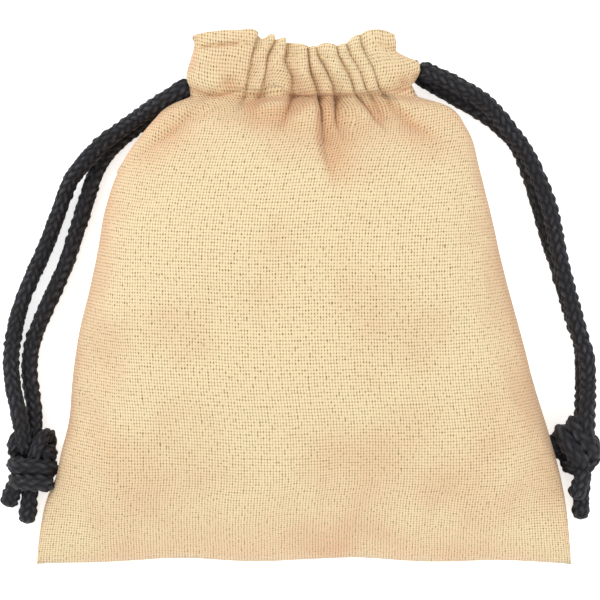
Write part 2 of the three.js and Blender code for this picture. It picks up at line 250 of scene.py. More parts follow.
def smooth_line(route, step=LINE_STEP):
    p = np.array(route, float)
    p = np.vstack([2 * p[0] - p[1], p, 2 * p[-1] - p[-2]])
    dense = []
    for i in range(1, len(p) - 2):
        t = np.linspace(0, 1, 24, endpoint=False)[:, None]
        a, b, c, d = p[i - 1], p[i], p[i + 1], p[i + 2]
        dense.append(0.5 * (2 * b + (c - a) * t + (2 * a - 5 * b + 4 * c - d) * t**2
                            + (3 * b - a - 3 * c + d) * t**3))
    dense = np.vstack(dense + [p[-2:-1]])
    length = arc_lengths(dense, 0)
    count = max(int(length[-1] / step), 4)
    at = np.linspace(0, length[-1], count + 1)
    even = np.stack([np.interp(at, length, dense[:, k]) for k in range(3)], axis=1)
    for _ in range(6):
        even[1:-1] = 0.25 * even[:-2] + 0.5 * even[1:-1] + 0.25 * even[2:]
    return even


print("steps along one tail:", len(smooth_line(ROUTES["left_front_tail"])) - 1)


# %% [markdown]
# The cord is a round braid of sixteen yarns: eight wind one way, eight the other, and each passes over
# two and under two. Sixteen thin tubes could be wound round each other. One tube that is raised and
# lowered to the braid's own height map is lighter and has no hidden surfaces inside.

# %% Height map of the braid
YARNS = 8
BRAID_PITCH = 15 * MM
BRAID_DEPTH = 0.7 * MM


def braid_height(turn, along):
    one = YARNS * (turn + along / BRAID_PITCH)
    other = YARNS * (turn - along / BRAID_PITCH)
    group = np.mod(np.floor(one) + np.floor(other), 4)
    over_one = group < 2
    fraction_one = np.mod(one, 1)
    fraction_other = np.mod(other, 1)
    across = np.where(over_one, fraction_other, fraction_one)
    half = np.where(over_one, group, group - 2)
    travel = np.where(over_one, fraction_one, fraction_other)
    phase = (half + travel) / 2
    round_top = np.sqrt(np.clip(1 - (2 * across - 1) ** 2, 0, 1))
    # no two yarns stand equally high
    own = np.where(over_one, np.floor(one) * 7.3 + np.floor((other - half) / 2) * 3.1,
                   np.floor(other) * 5.7 + np.floor((one - half) / 2) * 2.3)
    own = 0.84 + 0.16 * np.sin(own * 12.9898)
    return own * round_top * np.clip(np.sin(math.pi * phase), 0, 1) ** 0.5


sample = braid_height(np.linspace(0, 1, 200)[None, :], np.linspace(0, BRAID_PITCH, 200)[:, None])
print("mean height of the braid:", round(float(sample.mean()), 2))

# %% [markdown]
# The tube carries its own frame along the line: a side vector that is kept square to the cord from ring
# to ring, so the braid never twists by itself. Small random steps in thickness, twist and slip keep the
# braid from looking machined, and each cord has its own seed, so the result is the same each time.

# %% A braided tube along a line
def braided_tube(name, line, radius=CORD_RADIUS, sides=36, seed=0, flare=0.0):
    rng = np.random.default_rng(seed)
    tangent = np.gradient(line, axis=0)
    tangent /= np.linalg.norm(tangent, axis=1)[:, None]
    side = np.cross(tangent[0], (0.0, 0.0, 1.0))
    if np.linalg.norm(side) < 0.1:
        side = np.cross(tangent[0], (0.0, 1.0, 0.0))
    sides_at = []
    for t in tangent:
        side = side - t * np.dot(side, t)
        side /= np.linalg.norm(side)
        sides_at.append(side)
    sides_at = np.array(sides_at)
    ups = np.cross(sides_at, tangent)
    along = arc_lengths(line, 0)
    length = along[-1]
    turn = np.linspace(0, 1, sides, endpoint=False)
    angle = 2 * math.pi * turn
    end_distance = np.minimum(along, length - along)
    rounding = np.sqrt(np.clip(1 - (1 - np.clip(end_distance / (0.7 * radius), 0, 1)) ** 2, 0.02, 1))
    swell = 1 + flare * smooth(length - 3 * radius, length - 0.6 * radius, along)
    knots_at = np.linspace(0, length, 3 + int(length / (4 * MM)))
    wander = np.interp(along, knots_at, rng.normal(0, 0.018, len(knots_at)))
    twist = np.interp(along, knots_at, rng.normal(0, 0.02, len(knots_at)))
    slip = np.interp(along, knots_at, rng.normal(0, 0.35 * MM, len(knots_at)))
    height = braid_height(turn[None, :] + 0.13 * seed + twist[:, None], (along + slip)[:, None])
    r = (radius * (1 + wander) * swell)[:, None] - BRAID_DEPTH * (1 - height)
    r = r * rounding[:, None]
    ring = np.cos(angle)[None, :, None] * sides_at[:, None, :]
    ring = ring + np.sin(angle)[None, :, None] * ups[:, None, :]
    points = line[:, None, :] + r[..., None] * ring
    points[..., 2] = np.maximum(points[..., 2], 0.03 * MM)
    u = np.append(turn, 1.0) * 2 * math.pi * radius
    uv = np.stack(np.broadcast_arrays(u[None, :], along[:, None]), axis=-1)
    tube = mesh_from_grid(name, points[:, ::-1], uv[:, ::-1], closed=True, caps=True)
    lift = tube.data.attributes.new("yarn_lift", "FLOAT", "POINT")
    lift.data.foreach_set("value", np.append(height[:, ::-1].reshape(-1), (0.6, 0.6)).astype(np.float32))
    return tube


print("rings in one pitch of the braid:", round(BRAID_PITCH / LINE_STEP))

# %% [markdown]
# The four tails are the parts of the drawstrings that show. Each route becomes an even line, and each
# line a braided tube with its own seed. The lines are kept, because a tail's length is read from them.

# %% Tails
cords = {}
for index, (name, route) in enumerate(ROUTES.items()):
    line = smooth_line(route)
    cords[name] = (braided_tube(name + "_braid", line, seed=index), line)
    print(name, "is", round(1000 * arc_lengths(line, 0)[-1], 1), "mm long")

# %% [markdown]
# Inside the casings each drawstring runs straight along the front, turns back at the far end, and runs
# straight along the back. The cloth squeezes it there, so it is a little thinner.

# %% Runs and turns inside the casings
INNER_RADIUS = 1.62 * MM
TURN_OUT = 4.2 * MM
run_inner, run_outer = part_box("left_front_run")
TURN_X = run_outer[0]
EXIT_X = -run_inner[0]
SIDES = {"left": (LOW_LANE_Y, 1), "right": (HIGH_LANE_Y, -1)}
inner = {}
for index, (side, (lane, sign)) in enumerate(SIDES.items()):
    for face, z in (("front", FRONT_LANE_Z), ("back", BACK_LANE_Z)):
        exit_y = ROUTES[f"{side}_{face}_tail"][0][1]
        run = [(-sign * (EXIT_X + 0.0008), exit_y, z), (-sign * 0.0180, exit_y + 0.0002, z),
               (-sign * 0.0135, lane - 0.0002, z), (-sign * 0.009, lane, z), (sign * TURN_X, lane, z)]
        inner[f"{side}_{face}_run"] = braided_tube(
            f"{side}_{face}_run_braid", smooth_line(run), INNER_RADIUS, 24, 7 + index
        )
    middle = (FRONT_LANE_Z + BACK_LANE_Z) / 2
    rise = (FRONT_LANE_Z - BACK_LANE_Z) / 2
    angles = np.linspace(0, math.pi, 17)
    bend = [(sign * (TURN_X - 0.0008), lane, FRONT_LANE_Z)]
    bend += [(sign * (TURN_X + TURN_OUT * math.sin(a)), lane, middle + rise * math.cos(a)) for a in angles]
    bend += [(sign * (TURN_X - 0.0008), lane, BACK_LANE_Z)]
    inner[f"{side}_turn"] = braided_tube(f"{side}_turn", smooth_line(bend), INNER_RADIUS, 24, 17 + index)
print("inner cord pieces:", sorted(inner))

# %% [markdown]
# The knots are overhand knots tied in both strands at once. What shows is a barrel of cord wound round
# the strands, with one loop that rides up over its shoulder. Each is a few tubes along short listed
# lines, joined into one piece.

# %% Knots
def wound(centre, axis, reach, rise, pitch, turns, start):
    # a coil round an axis lying flat on the table: reach is its half width and rise its half height
    axis = np.array((*axis, 0.0)) / np.hypot(*axis)
    across = np.array((axis[1], -axis[0], 0.0))
    up = np.array((0.0, 0.0, 1.0))
    angle = start + np.linspace(0, 2 * math.pi * turns, int(14 * turns))
    slide = np.linspace(-0.5, 0.5, len(angle)) * pitch * turns
    centre = np.array(centre)
    return [tuple(centre + reach * math.cos(a) * across + rise * math.sin(a) * up + d * axis)
            for a, d in zip(angle, slide)]


# each knot is lines in millimetres, each with the radius of the cord along it
KNOT_LINES = {
    "left": [
        (wound((-50.4, -31.4, 4.5), (0.08, -1), 3.4, 2.6, 2.9, 2.1, 2.2), 1.8),
        ([(-51.6, -25.0, 4.6), (-53.4, -25.4, 4.9), (-54.0, -27.2, 4.2), (-53.6, -29.3, 3.0)], 1.5),
        ([(-50.2, -30.2, 5.4), (-49.6, -27.8, 6.5), (-48.4, -25.5, 5.9), (-47.4, -25.3, 4.0),
          (-47.6, -27.6, 2.4), (-49.0, -29.6, 2.2)], 1.6),
    ],
    "right": [
        (wound((50.3, -27.2, 4.5), (0.72, 0.7), 3.3, 2.6, 2.9, 2.1, 2.6), 2.05),
        ([(52.6, -25.6, 4.4), (53.7, -26.4, 4.6), (53.8, -29.0, 4.8), (52.6, -30.8, 5.2),
          (50.2, -31.2, 5.0), (48.9, -30.6, 3.4), (49.6, -29.2, 2.0)], 1.6),
    ],
}


def knot(side):
    parts = []
    for index, (shape, radius) in enumerate(KNOT_LINES[side]):
        line = smooth_line(np.array(shape) * MM)
        parts.append(braided_tube(f"{side}_knot_{index}", line, radius * MM, 32, 31 + index))
    bpy.ops.object.select_all(action="DESELECT")
    for part in parts:
        part.select_set(True)
    bpy.context.view_layer.objects.active = parts[0]
    bpy.ops.object.join()
    parts[0].name = f"{side}_knot_cord"
    return parts[0]


knots = {side: knot(side) for side in SIDES}
ends = {}
for index, (name, route) in enumerate(END_ROUTES.items()):
    ends[name] = braided_tube(name + "_cut", smooth_line(route), seed=41 + index, flare=0.1)
print("knots and cut ends:", len(knots) + len(ends))

# %% [markdown]
# ## The pouch's form
# Two sheets of muslin are sewn at the sides and the bottom. The front one is lifted by what is inside,
# and its sides draw in towards the gathered mouth. Across any line of the pouch its section is a rounded
# hump, an ellipse low down and squarer near the mouth.

# %% Outline and crown
def line_through(pairs):
    at = np.array([p[0] for p in pairs], float)
    value = np.array([p[1] for p in pairs], float)
    slope = np.gradient(value, at)

    def read(x):
        x = np.clip(x, at[0], at[-1])
        i = np.clip(np.searchsorted(at, x, side="right") - 1, 0, len(at) - 2)
        span = at[i + 1] - at[i]
        t = (x - at[i]) / span
        return ((1 + 2 * t) * (1 - t) ** 2 * value[i] + t * (1 - t) ** 2 * span * slope[i]
                + t * t * (3 - 2 * t) * value[i + 1] + t * t * (t - 1) * span * slope[i + 1])

    return read


MOUTH_SHARE = HALF_MOUTH / HALF_BOTTOM
left_share = line_through(
    [(0, 1), (0.07, 0.986), (0.145, 0.956), (0.19, 0.922), (0.232, 0.904), (0.31, 0.872), (0.396, 0.858),
     (0.64, 0.775), (0.78, 0.722), (0.84, 0.685), (0.91, 0.607), (0.945, 0.556), (0.97, 0.51),
     (1, MOUTH_SHARE)])
right_share = line_through(
    [(0, 1), (0.07, 0.988), (0.13, 0.974), (0.18, 0.956), (0.27, 0.916), (0.38, 0.857), (0.64, 0.735),
     (0.78, 0.675), (0.85, 0.645), (0.93, 0.598), (0.975, 0.527), (1, MOUTH_SHARE)])
crown_at = line_through(
    [(0, 1.25 * MM), (0.012, 2.9 * MM), (0.05, 0.3 * CROWN_Z), (0.16, 0.62 * CROWN_Z),
     (0.36, 0.92 * CROWN_Z), (0.55, CROWN_Z), (0.78, 0.92 * CROWN_Z),
     (0.92, (CROWN_Z + LIP_TOP_Z) / 2 - 1 * MM), (1, LIP_TOP_Z - 1.3 * MM)])
seam_at = line_through([(0, 1.2 * MM), (0.25, 0.6 * SEAM_Z), (0.6, SEAM_Z), (1, SEAM_Z)])
print("crown", round(float(crown_at(0.55)) * 1000, 1), "mm")


# %% [markdown]
# ## Gathers
# The mouth is gathered only in its middle. There the cloth stands in round ridges with narrow valleys
# between them. A simulation could gather the cloth, but it would put the ridges where it liked. So each
# valley is a listed line down the cloth, and the ridge between two lines is a hump that leans to one
# side, because a cord pushes cloth along as well as up. Below the casing every ridge fades into the body
# at its own height, and a few creases run on as shallow grooves.

# %% Valley lines and ridges
# each line is (y, x) pairs in millimetres, from the body up to the header's edge
GATHER_LINES = [
    [(32, -13.4), (36, -11.4), (38.6, -10.7), (41, -10.4), (43.4, -9.9), (46.6, -9.2), (49, -8.4)],
    [(32, -9.8), (36, -8.6), (39, -8.0), (41.9, -7.1), (44.6, -6.8), (47.3, -5.6), (49, -5.2)],
    [(30, -4.4), (35.4, -2.8), (37.5, -2.3), (40.7, -2.3), (43.7, -3.6), (47.3, -3.4), (49, -3.2)],
    [(23, 4.9), (26.7, 3.9), (30.2, 3.4), (35, 3.2), (37.7, 2.2), (41, 1.3), (44.6, 0.6), (47, 0.3)],
    [(26, 8.6), (31.8, 6.9), (35.6, 5.7), (39.2, 5.1), (42.8, 3.6), (44.6, 2.4), (47, 1.9)],
    [(31, 15.6), (35.6, 11.6), (37.7, 9.2), (41.6, 7.9), (44.9, 6.2), (47, 5.6)],
    [(33, 15.6), (36.4, 12.8), (38.6, 11.1), (41.6, 10.2), (44.6, 8.5), (47, 7.6)],
    [(32, 19.0), (36.6, 15.2), (38.6, 13.6), (42.2, 12.6), (44.6, 11.3), (47, 10.4), (49, 10.0)],
]
# height of each ridge, where it has faded out, where it is still whole, and how far it leans to the right
RIDGES = [
    (1.2, 35.5, 38.5, 2.2), (1.9, 32.0, 38.0, 1.5), (2.4, 29.0, 38.0, 1.9), (1.9, 29.5, 38.0, 1.1),
    (2.1, 29.5, 37.5, 1.3), (1.4, 33.0, 38.0, 1.0), (1.1, 32.5, 38.0, 1.2),
]
SHOULDER = 1.1


def gathers(x, y):
    x, y = x / MM, y / MM
    lines = [np.interp(y, *np.array(line).T) for line in GATHER_LINES]
    height = np.zeros_like(x)
    lean = np.zeros_like(x)
    for (tall, gone, whole, right_lean), left, right in zip(RIDGES, lines[:-1], lines[1:]):
        inside = (x > left) & (x < right)
        t = np.clip((x - left) / np.maximum(right - left, 0.2), 0, 1)
        # a ridge leans one way, then the other, and its valleys open and close
        bend = right_lean * (1 + 0.3 * np.sin(0.75 * y + 2.1 * tall))
        sharp = 0.8 + 0.18 * np.sin(1.1 * y + 5.3 * tall)
        hump = np.clip(1 - np.abs(2 * t**bend - 1) ** 2.2, 0, 1) ** sharp
        tall = tall * (1 + 0.16 * np.sin(0.9 * y + 3.7 * tall))
        strong = smooth(gone, whole, y)
        wide = np.clip((right - left) / 2.2, 0, 1)
        height = np.where(inside, tall * wide * strong * hump, height)
        lean = np.where(inside, 0.55 * wide * strong * hump * t, lean)
    outer = smooth(33.0, 38.5, y)
    flat = SHOULDER * outer * (1 - np.exp((x - lines[0]) / 0.22))
    height = np.where(x <= lines[0], flat, height)
    lean = np.where(x <= lines[0], 0.5 * flat * np.exp((x - lines[0]) / 1.2), lean)
    height = np.where(x >= lines[-1], SHOULDER * outer * (1 - np.exp((lines[-1] - x) / 0.9)), height)
    middle = smooth(-14, -9, x) * smooth(18, 13, x)
    return height * MM, lean * MM, middle


print("ridges:", len(RIDGES), "valley lines:", len(GATHER_LINES))

# %% [markdown]
# A crease is a line of points with a depth that changes along it. One side of it is steep and the other
# gentle, as where a fold of cloth lies over. For each point of the cloth the nearest place on the line is
# found, and the depth falls off with the distance from it.

# %% Creases that run on over the body
# points in mm, depths at the start, middle and end, then the widths of the steep and the gentle side
CREASES = [
    ([(2.2, 38.2), (3.2, 35.0), (3.4, 30.2), (3.9, 26.7), (5.0, 22.6), (5.8, 19.0)],
     (0.2, 2.7, 0.1), 0.6, 2.8),
    ([(5.2, 38.6), (5.7, 35.6), (6.9, 31.8), (8.2, 28.4)], (0.3, 0.7, 0.1), 0.45, 1.4),
    ([(-2.2, 37.6), (-2.8, 35.2), (-4.4, 31.6), (-6.4, 28.0)], (0.3, 0.7, 0.1), 0.6, 1.6),
    ([(14.4, 38.2), (15.9, 36.2), (19.2, 33.5), (23.6, 30.0), (27.4, 26.8)], (0.8, 1.4, 0.2), 2.2, 0.45),
    ([(-18.6, 36.6), (-22.0, 33.6), (-27.0, 29.4), (-32.4, 25.0)], (0.8, 1.5, 0.8), 0.5, 3.2),
    ([(-10.8, 37.4), (-13.6, 34.2), (-16.8, 30.0)], (0.4, 0.5, 0.1), 0.9, 2.2),
    ([(17.9, 41.0), (18.1, 39.6), (18.6, 38.0)], (0.4, 1.4, 0.8), 0.7, 0.9),
    ([(-14.2, 41.0), (-13.6, 39.4), (-13.0, 38.2)], (0.3, 1.2, 0.9), 0.9, 1.2),
    ([(11.0, 36.2), (13.6, 33.4), (16.4, 29.6)], (0.5, 0.5, 0.1), 0.6, 1.6),
]


def crease_field(x, y, creases):
    total = np.zeros_like(x)
    for points, depths, steep, gentle in creases:
        p = np.array(points) * MM
        lengths = arc_lengths(p, 0)
        best = np.full(x.shape, 1e9)
        here = np.zeros(x.shape)
        side = np.zeros(x.shape)
        for i in range(len(p) - 1):
            d = p[i + 1] - p[i]
            size = np.hypot(*d)
            t = np.clip(((x - p[i][0]) * d[0] + (y - p[i][1]) * d[1]) / size**2, 0, 1)
            away_x = x - (p[i][0] + t * d[0])
            away_y = y - (p[i][1] + t * d[1])
            distance = np.hypot(away_x, away_y)
            nearer = distance < best
            best = np.where(nearer, distance, best)
            here = np.where(nearer, (lengths[i] + t * size) / lengths[-1], here)
            side = np.where(nearer, np.sign(d[0] * away_y - d[1] * away_x), side)
        # the line runs down the cloth, so a positive side is to its right as seen from above
        width = np.where(side > 0, gentle, steep) * MM * (1 + 0.6 * here)
        depth = np.interp(here, (0, 0.4, 1), depths)
        total = total + depth * MM * np.exp(-((best / width) ** 1.3))
    return total


print("creases:", len(CREASES))

# %% [markdown]
# ## The front sheet
# One piece of cloth makes the front, from the bottom seam up over the body, through the casing that holds
# the cords, up to the header's folded edge, over it, and back down inside as the casing's facing. It is
# lofted from rows of points, since one grid gives one unbroken sheet and one weave.

# %% Lines across the mouth
COLUMNS = 197
header_edge = line_through(
    [(-21, 48.4), (-18, 48.9), (-12, 49.2), (-8.8, 48.9), (-7.6, 47.9), (-6.4, 48.4), (-4.6, 47.4),
     (-3.2, 47.3), (-1.4, 46.3), (1.2, 46.1), (2.6, 46.5), (5.2, 46.3), (7.0, 46.6), (8.6, 47.8),
     (11, 48.9), (14, 49.2), (18.0, 49.1), (21, 48.5)])
stitch_line = line_through(
    [(-21, 46.2), (-9, 46.5), (-6, 45.6), (-2, 44.6), (2, 44.2), (6, 44.6), (9, 45.6), (15, 46.2),
     (21, 45.8)])
waist_line = line_through(
    [(-21, 38.8), (-19, 38.0), (-16.4, 37.5), (-10.5, 38.6), (-8.2, 38.5), (-5.5, 39.1), (-2.4, 37.5),
     (3, 37.4), (9, 37.6), (12, 38.0), (17.6, 38.4), (21, 39.2)])
# how far the casing reaches at each height, on the left and on the right
left_edge = line_through([(37, -18.9), (38.5, -20.6), (40, -21.4), (42.5, -21.3), (44.5, -20.7),
                          (46.4, -20.2), (48.6, -20.3)])
right_edge = line_through([(37, 18.3), (38.6, 19.0), (40.3, 20.5), (42.6, 21.2), (43.6, 20.8), (44.4, 18.9),
                           (45.2, 17.3), (47.0, 16.9), (48.6, 16.6)])
# most columns go to the gathers, where the cloth is crowded
column_share = np.linspace(-1, 1, COLUMNS)
mouth_at = line_through([(-1, -1), (-0.74, -0.5), (0.0, 0.08), (0.8, 0.66), (1, 1)])(column_share)
print("columns:", COLUMNS, "of them among the gathers:", int(np.sum(np.abs(mouth_at) < 0.5)))


def ripple(x, y, scale, seed):
    rng = np.random.default_rng(seed)
    total = np.zeros_like(x)
    for _ in range(7):
        direction = rng.uniform(0, math.pi)
        wave = scale * rng.uniform(0.7, 1.6)
        phase = rng.uniform(0, 2 * math.pi)
        total += np.sin(2 * math.pi * (x * math.cos(direction) + y * math.sin(direction)) / wave + phase)
    return total / 7


# %% [markdown]
# A row of the body is half of a squared ellipse from seam to seam. Its points are spaced along the curve
# and not across the table, so the cloth's columns don't bunch at the steep sides.

# %% Section of the front at one height
def front_section(y):
    v = (y - BOTTOM_Y) / PANEL_LENGTH
    half_left = left_share(v) * HALF_BOTTOM
    half_right = right_share(v) * HALF_BOTTOM
    slit = smooth(33.5 * MM, 38.0 * MM, y)
    low = seam_at(v) * (1 - slit) + (LIP_TOP_Z - 1.9 * MM) * slit
    power = 2.3 + 2.2 * np.clip(v, 0, 1) ** 4
    angle = np.linspace(-math.pi / 2, math.pi / 2, 801)
    across = np.sign(angle) * np.abs(np.sin(angle)) ** (2 / power)
    up = np.clip(np.cos(angle), 0, 1) ** (2 / power)
    x = across * np.where(across < 0, half_left, half_right)
    z = low + (crown_at(v) - low) * up
    dense = np.stack([x, np.full_like(x, y), z], axis=1)
    length = arc_lengths(dense, 0)
    crowd = smooth(4 * MM, 37 * MM, y)
    share = column_share * (1 - crowd) + mouth_at * crowd
    even = (share + 1) / 2 * length[-1]
    return np.stack([np.interp(even, length, dense[:, k]) for k in range(3)], axis=1)


middle_row = front_section(0.0)
print("width across the middle:", round(float(np.ptp(middle_row[:, 0])) / MM, 1), "mm")


# %% [markdown]
# Rows are then laid one after another as a tailor would follow the cloth: the body, the casing's outer
# ply, the header, the fold over its top, and the facing inside.

# %% Rows of the front sheet
CASING_TOP = 15.45  # mm above the table, over the cords
CASING_ROWS = 30
HEADER_ROWS = 9
FOLD_ROWS = 8
FACING_ROWS = 14
JOIN_ROWS = 6


def steps(count):
    return np.linspace(0, 1, count + 1)[1:]


def bottom_wave(x, y):
    # the bottom seam is drawn up a little between the corners
    pull = (1 - np.abs(x / HALF_BOTTOM) ** 3) * np.exp(-(y - BOTTOM_Y) / (9 * MM))
    return pull * (0.8 + 0.35 * np.sin(x / (5.2 * MM))) * MM


def front_grid():
    low_rows = np.linspace(BOTTOM_Y, 8 * MM, 48, endpoint=False)
    high_rows = np.linspace(8 * MM, PANEL_TOP_Y, 70)
    body = np.array([front_section(y) for y in np.append(low_rows, high_rows)])
    body[..., 1] += bottom_wave(body[..., 0], body[..., 1])
    x0 = mouth_at * HALF_MOUTH
    x_mm = x0 / MM
    waist, stitch, edge = waist_line(x_mm), stitch_line(x_mm), header_edge(x_mm)
    middle = smooth(-14, -9, x_mm) * smooth(18, 13, x_mm)
    floor_z = (LIP_TOP_Z - 1.3 * MM) / MM + 0.9 * middle
    upper = []

    def add(y, z):
        reach = np.where(x_mm < 0, left_edge(y) / left_edge(37), right_edge(y) / right_edge(37))
        reach = reach * np.where(x_mm < 0, 18.9, 18.3) / 20.9
        outer = smooth(9, 21, np.abs(x_mm))
        upper.append(np.stack([x_mm * (1 + (reach - 1) * outer), y, z], axis=1) * MM)

    for t in steps(CASING_ROWS):
        bulge = math.sin(math.pi * t) ** 0.5
        add(waist * (1 - t) + stitch * t, floor_z * (1 - bulge) + CASING_TOP * bulge)
    after = upper[-1][:, 2] / MM
    for t in steps(HEADER_ROWS):
        add(stitch * (1 - t) + edge * t, after + 0.25 * math.sin(math.pi * t) - 0.2 * t)
    after = after - 0.2
    for t in steps(FOLD_ROWS):
        add(edge + 0.3 * math.sin(math.pi * t) - 0.4 * t * t, after - 0.8 * (1 - math.cos(math.pi * t)))
    after = after - 1.6
    facing = front_facing_low[2] / MM + 0.05
    for t in steps(FACING_ROWS):
        far = t**3
        add((edge - 0.4) * (1 - far) + (waist + 0.3) * far, after + (facing - after) * smooth(0, 0.4, t))
    upper = np.array(upper)
    between = [body[-1] * (1 - t) + upper[0] * t for t in np.linspace(0, 1, JOIN_ROWS + 2)[1:-1]]
    body = np.concatenate([body, between])
    return np.concatenate([body, upper]), len(body), len(body) + CASING_ROWS + HEADER_ROWS


print("rows above the waist:", CASING_ROWS + HEADER_ROWS + FOLD_ROWS + FACING_ROWS)


# %% [markdown]
# The rows give a smooth form. Everything smaller is then added as a movement of each point: ridges,
# creases, the stitched groove, the groove under the casing, slow waves over the body and small folds
# above the bottom seam. On the body the points move square to the surface, and in the casing they move
# straight up.

# %% Small forms of the front
SHALLOW = 0.6 * MM


def grooves(x, y, flat_part):
    # the header's stitches and the casing's lower edge press the cloth down, least of all in the gathers
    from_stitches = (y - stitch_line(x / MM) * MM) / (0.26 * MM)
    stitched = SHALLOW * np.exp(-(from_stitches**2)) * (0.15 + 0.85 * flat_part)
    from_waist = np.abs(y - waist_line(x / MM) * MM) / (0.7 * MM)
    waist = np.exp(-(from_waist**1.5)) * flat_part * (np.abs(x) < 22 * MM)
    return stitched, waist


def body_waves(x, y, in_casing):
    from_seam = y - BOTTOM_Y
    small = 0.22 * MM * ripple(x, y, 9 * MM, 3) * smooth(20 * MM, 34 * MM, y)
    large = 0.9 * MM * ripple(x, y, 30 * MM, 5)
    large = large * smooth(BOTTOM_Y, BOTTOM_Y + 12 * MM, y) * (1 - in_casing)
    folds = 0.45 * MM * np.sin(x / (3.4 * MM) + 1.3 * np.sin(x / (15 * MM)))
    folds = folds * np.exp(-((from_seam / (13 * MM)) ** 2)) * smooth(BOTTOM_Y, BOTTOM_Y + 4 * MM, y)
    return small, large, folds


print("deepest stitched groove:", round(SHALLOW / MM, 1), "mm")


# %% [markdown]
# Light bounces between the sides of a fold and comes out warmer and dimmer, and this shade is painted into
# the cloth's colour. A number on each point of the cloth says how much painted shade it gets, from its
# depth below the ridges, the creases, the stitched groove and the groove under the casing, a strip beside
# the seams, how far the cloth turns away from above, and slopes that face down to the right, away from the
# window lamp. The cloth's material reads it.

# %% Painted shade in the folds
def shade_turned_away(normal):
    # painted shade that grows as the cloth turns away from above
    return 0.95 * (1 - smooth(0.25, 0.96, normal[..., 2]))


def painted_fold_shade(normal, y, gathered, crease, stitched, waist, in_casing, near_mouth, middle):
    # painted shade in the valleys between the ridges near the mouth and in the creases
    warm = (0.7 * MM * near_mouth - (gathered - 0.5 * crease)) / (1.5 * MM)
    warm = np.clip(warm, 0, 1) * near_mouth
    warm = np.maximum(warm, np.clip(crease / (1.6 * MM), 0, 1))
    # painted shade in the stitched groove and in the groove under the casing
    warm = np.maximum(warm, np.maximum(waist, np.clip(stitched / (0.8 * MM), 0, 1)))
    # painted shade in a strip beside the seams, where the cloth curves away
    beside_seam = smooth(0.72, 0.97, np.abs(column_share))[None, :] * (1 - in_casing)
    warm = np.maximum(warm, 0.7 * beside_seam * smooth(BOTTOM_Y, BOTTOM_Y + 20 * MM, y))
    warm = warm ** (1 + 0.6 * in_casing * middle)
    # painted shade where the cloth turns away from above, weaker in the gathered casing
    warm = np.maximum(warm, shade_turned_away(normal) * (1 - 0.7 * in_casing * middle))
    # painted shade on slopes that face down to the right, away from the window lamp
    shaded_lower_right = smooth(0.1, 0.75, normal[..., 0] - normal[..., 1])
    return np.maximum(warm, 0.2 * shaded_lower_right * near_mouth)


print("warmth of cloth that stands upright:", float(shade_turned_away(np.array((1.0, 0.0, 0.0)))))


# %% [markdown]
# Each movement is worked out from the unmoved sheet and they are all added together, so their order
# doesn't matter. They fade out at the seams, and behind the header's fold the inner ply keeps its smooth
# form.

# %% Move the points
def displaced(grid, outer_rows):
    normal = surface_normal(grid)
    x, y = grid[..., 0], grid[..., 1]
    height, lean, middle = gathers(x, y)
    crease = crease_field(x, y, CREASES)
    in_casing = smooth(36.5 * MM, 38.5 * MM, y)
    near_mouth = smooth(26 * MM, 36 * MM, y) * middle
    gathered = height - 0.8 * MM * (1 - in_casing) * near_mouth
    small, large, folds = body_waves(x, y, in_casing)
    stitched, waist = grooves(x, y, 1 - middle)
    off_seam = 1 - np.abs(column_share[None, :]) ** 12
    move = (gathered - crease - stitched - SHALLOW * waist + small + large + folds) * off_seam
    # one on the outer ply, fading to zero on the inner one
    outer = np.zeros(grid.shape[0])
    outer[:outer_rows] = 1
    outer[outer_rows:] = np.linspace(1, 0, grid.shape[0] - outer_rows) ** 3
    up = np.zeros_like(normal)
    up[..., 2] = 1
    tilt = smooth(33 * MM, 38 * MM, y)[..., None]
    direction = normal * (1 - tilt) + up * tilt
    direction /= np.linalg.norm(direction, axis=2)[..., None]
    outer = outer[:, None]
    result = grid + direction * (move * outer)[..., None]
    result[..., 0] += lean * outer
    # the header's edge stands higher on each ridge
    at_edge = smooth(45 * MM, 47.5 * MM, y)
    result[..., 1] += 0.45 * (height - 0.9 * MM) * middle * at_edge * outer
    # the casing's ends curl down round the cords
    lane = np.where(x < 0, 39.6 * MM, 43.3 * MM)
    clear = smooth(1.4 * MM, 3.0 * MM, np.abs(y - lane))
    curl = np.clip((np.abs(x) - 18.4 * MM) / (2.8 * MM), 0, 1) ** 2 * in_casing
    result[..., 2] -= curl * (0.5 + 2.2 * clear) * MM * outer
    # painted shade for the cloth's colour, fading out on the inner ply
    warm = painted_fold_shade(
        surface_normal(result), y, gathered, crease, stitched, waist, in_casing, near_mouth, middle)
    return result, warm * outer


print("tallest ridge:", max(ridge[0] for ridge in RIDGES), "mm")


# %% [markdown]
# ## Let the cloth settle
# The drawn form is too even. A coarse copy of the front is held at its seams and its gathered mouth,
# given a little more cloth than it needs and pushed up from inside, and Blender's cloth solver finds
# where it bulges and slackens. The soft contents carry the cloth, so gravity is off. Only a small
# movement is kept and spread over the fine sheet, so the gathers stay where they are.

# %% Cloth simulation on a coarse copy
SETTLE_FRAMES = 24
SETTLE_LIMIT = 1.6 * MM
COARSE_ROWS = 46
COARSE_COLUMNS = 50


def coarse_cloth(coarse):
    piece = mesh_from_grid("settling", coarse, np.zeros((COARSE_ROWS, COARSE_COLUMNS, 2)))
    held = piece.vertex_groups.new(name="held")
    for r in range(COARSE_ROWS):
        for c in range(COARSE_COLUMNS):
            if r < 1 or r > COARSE_ROWS - 4 or c < 1 or c > COARSE_COLUMNS - 2:
                held.add([r * COARSE_COLUMNS + c], 1.0, "REPLACE")
    return piece


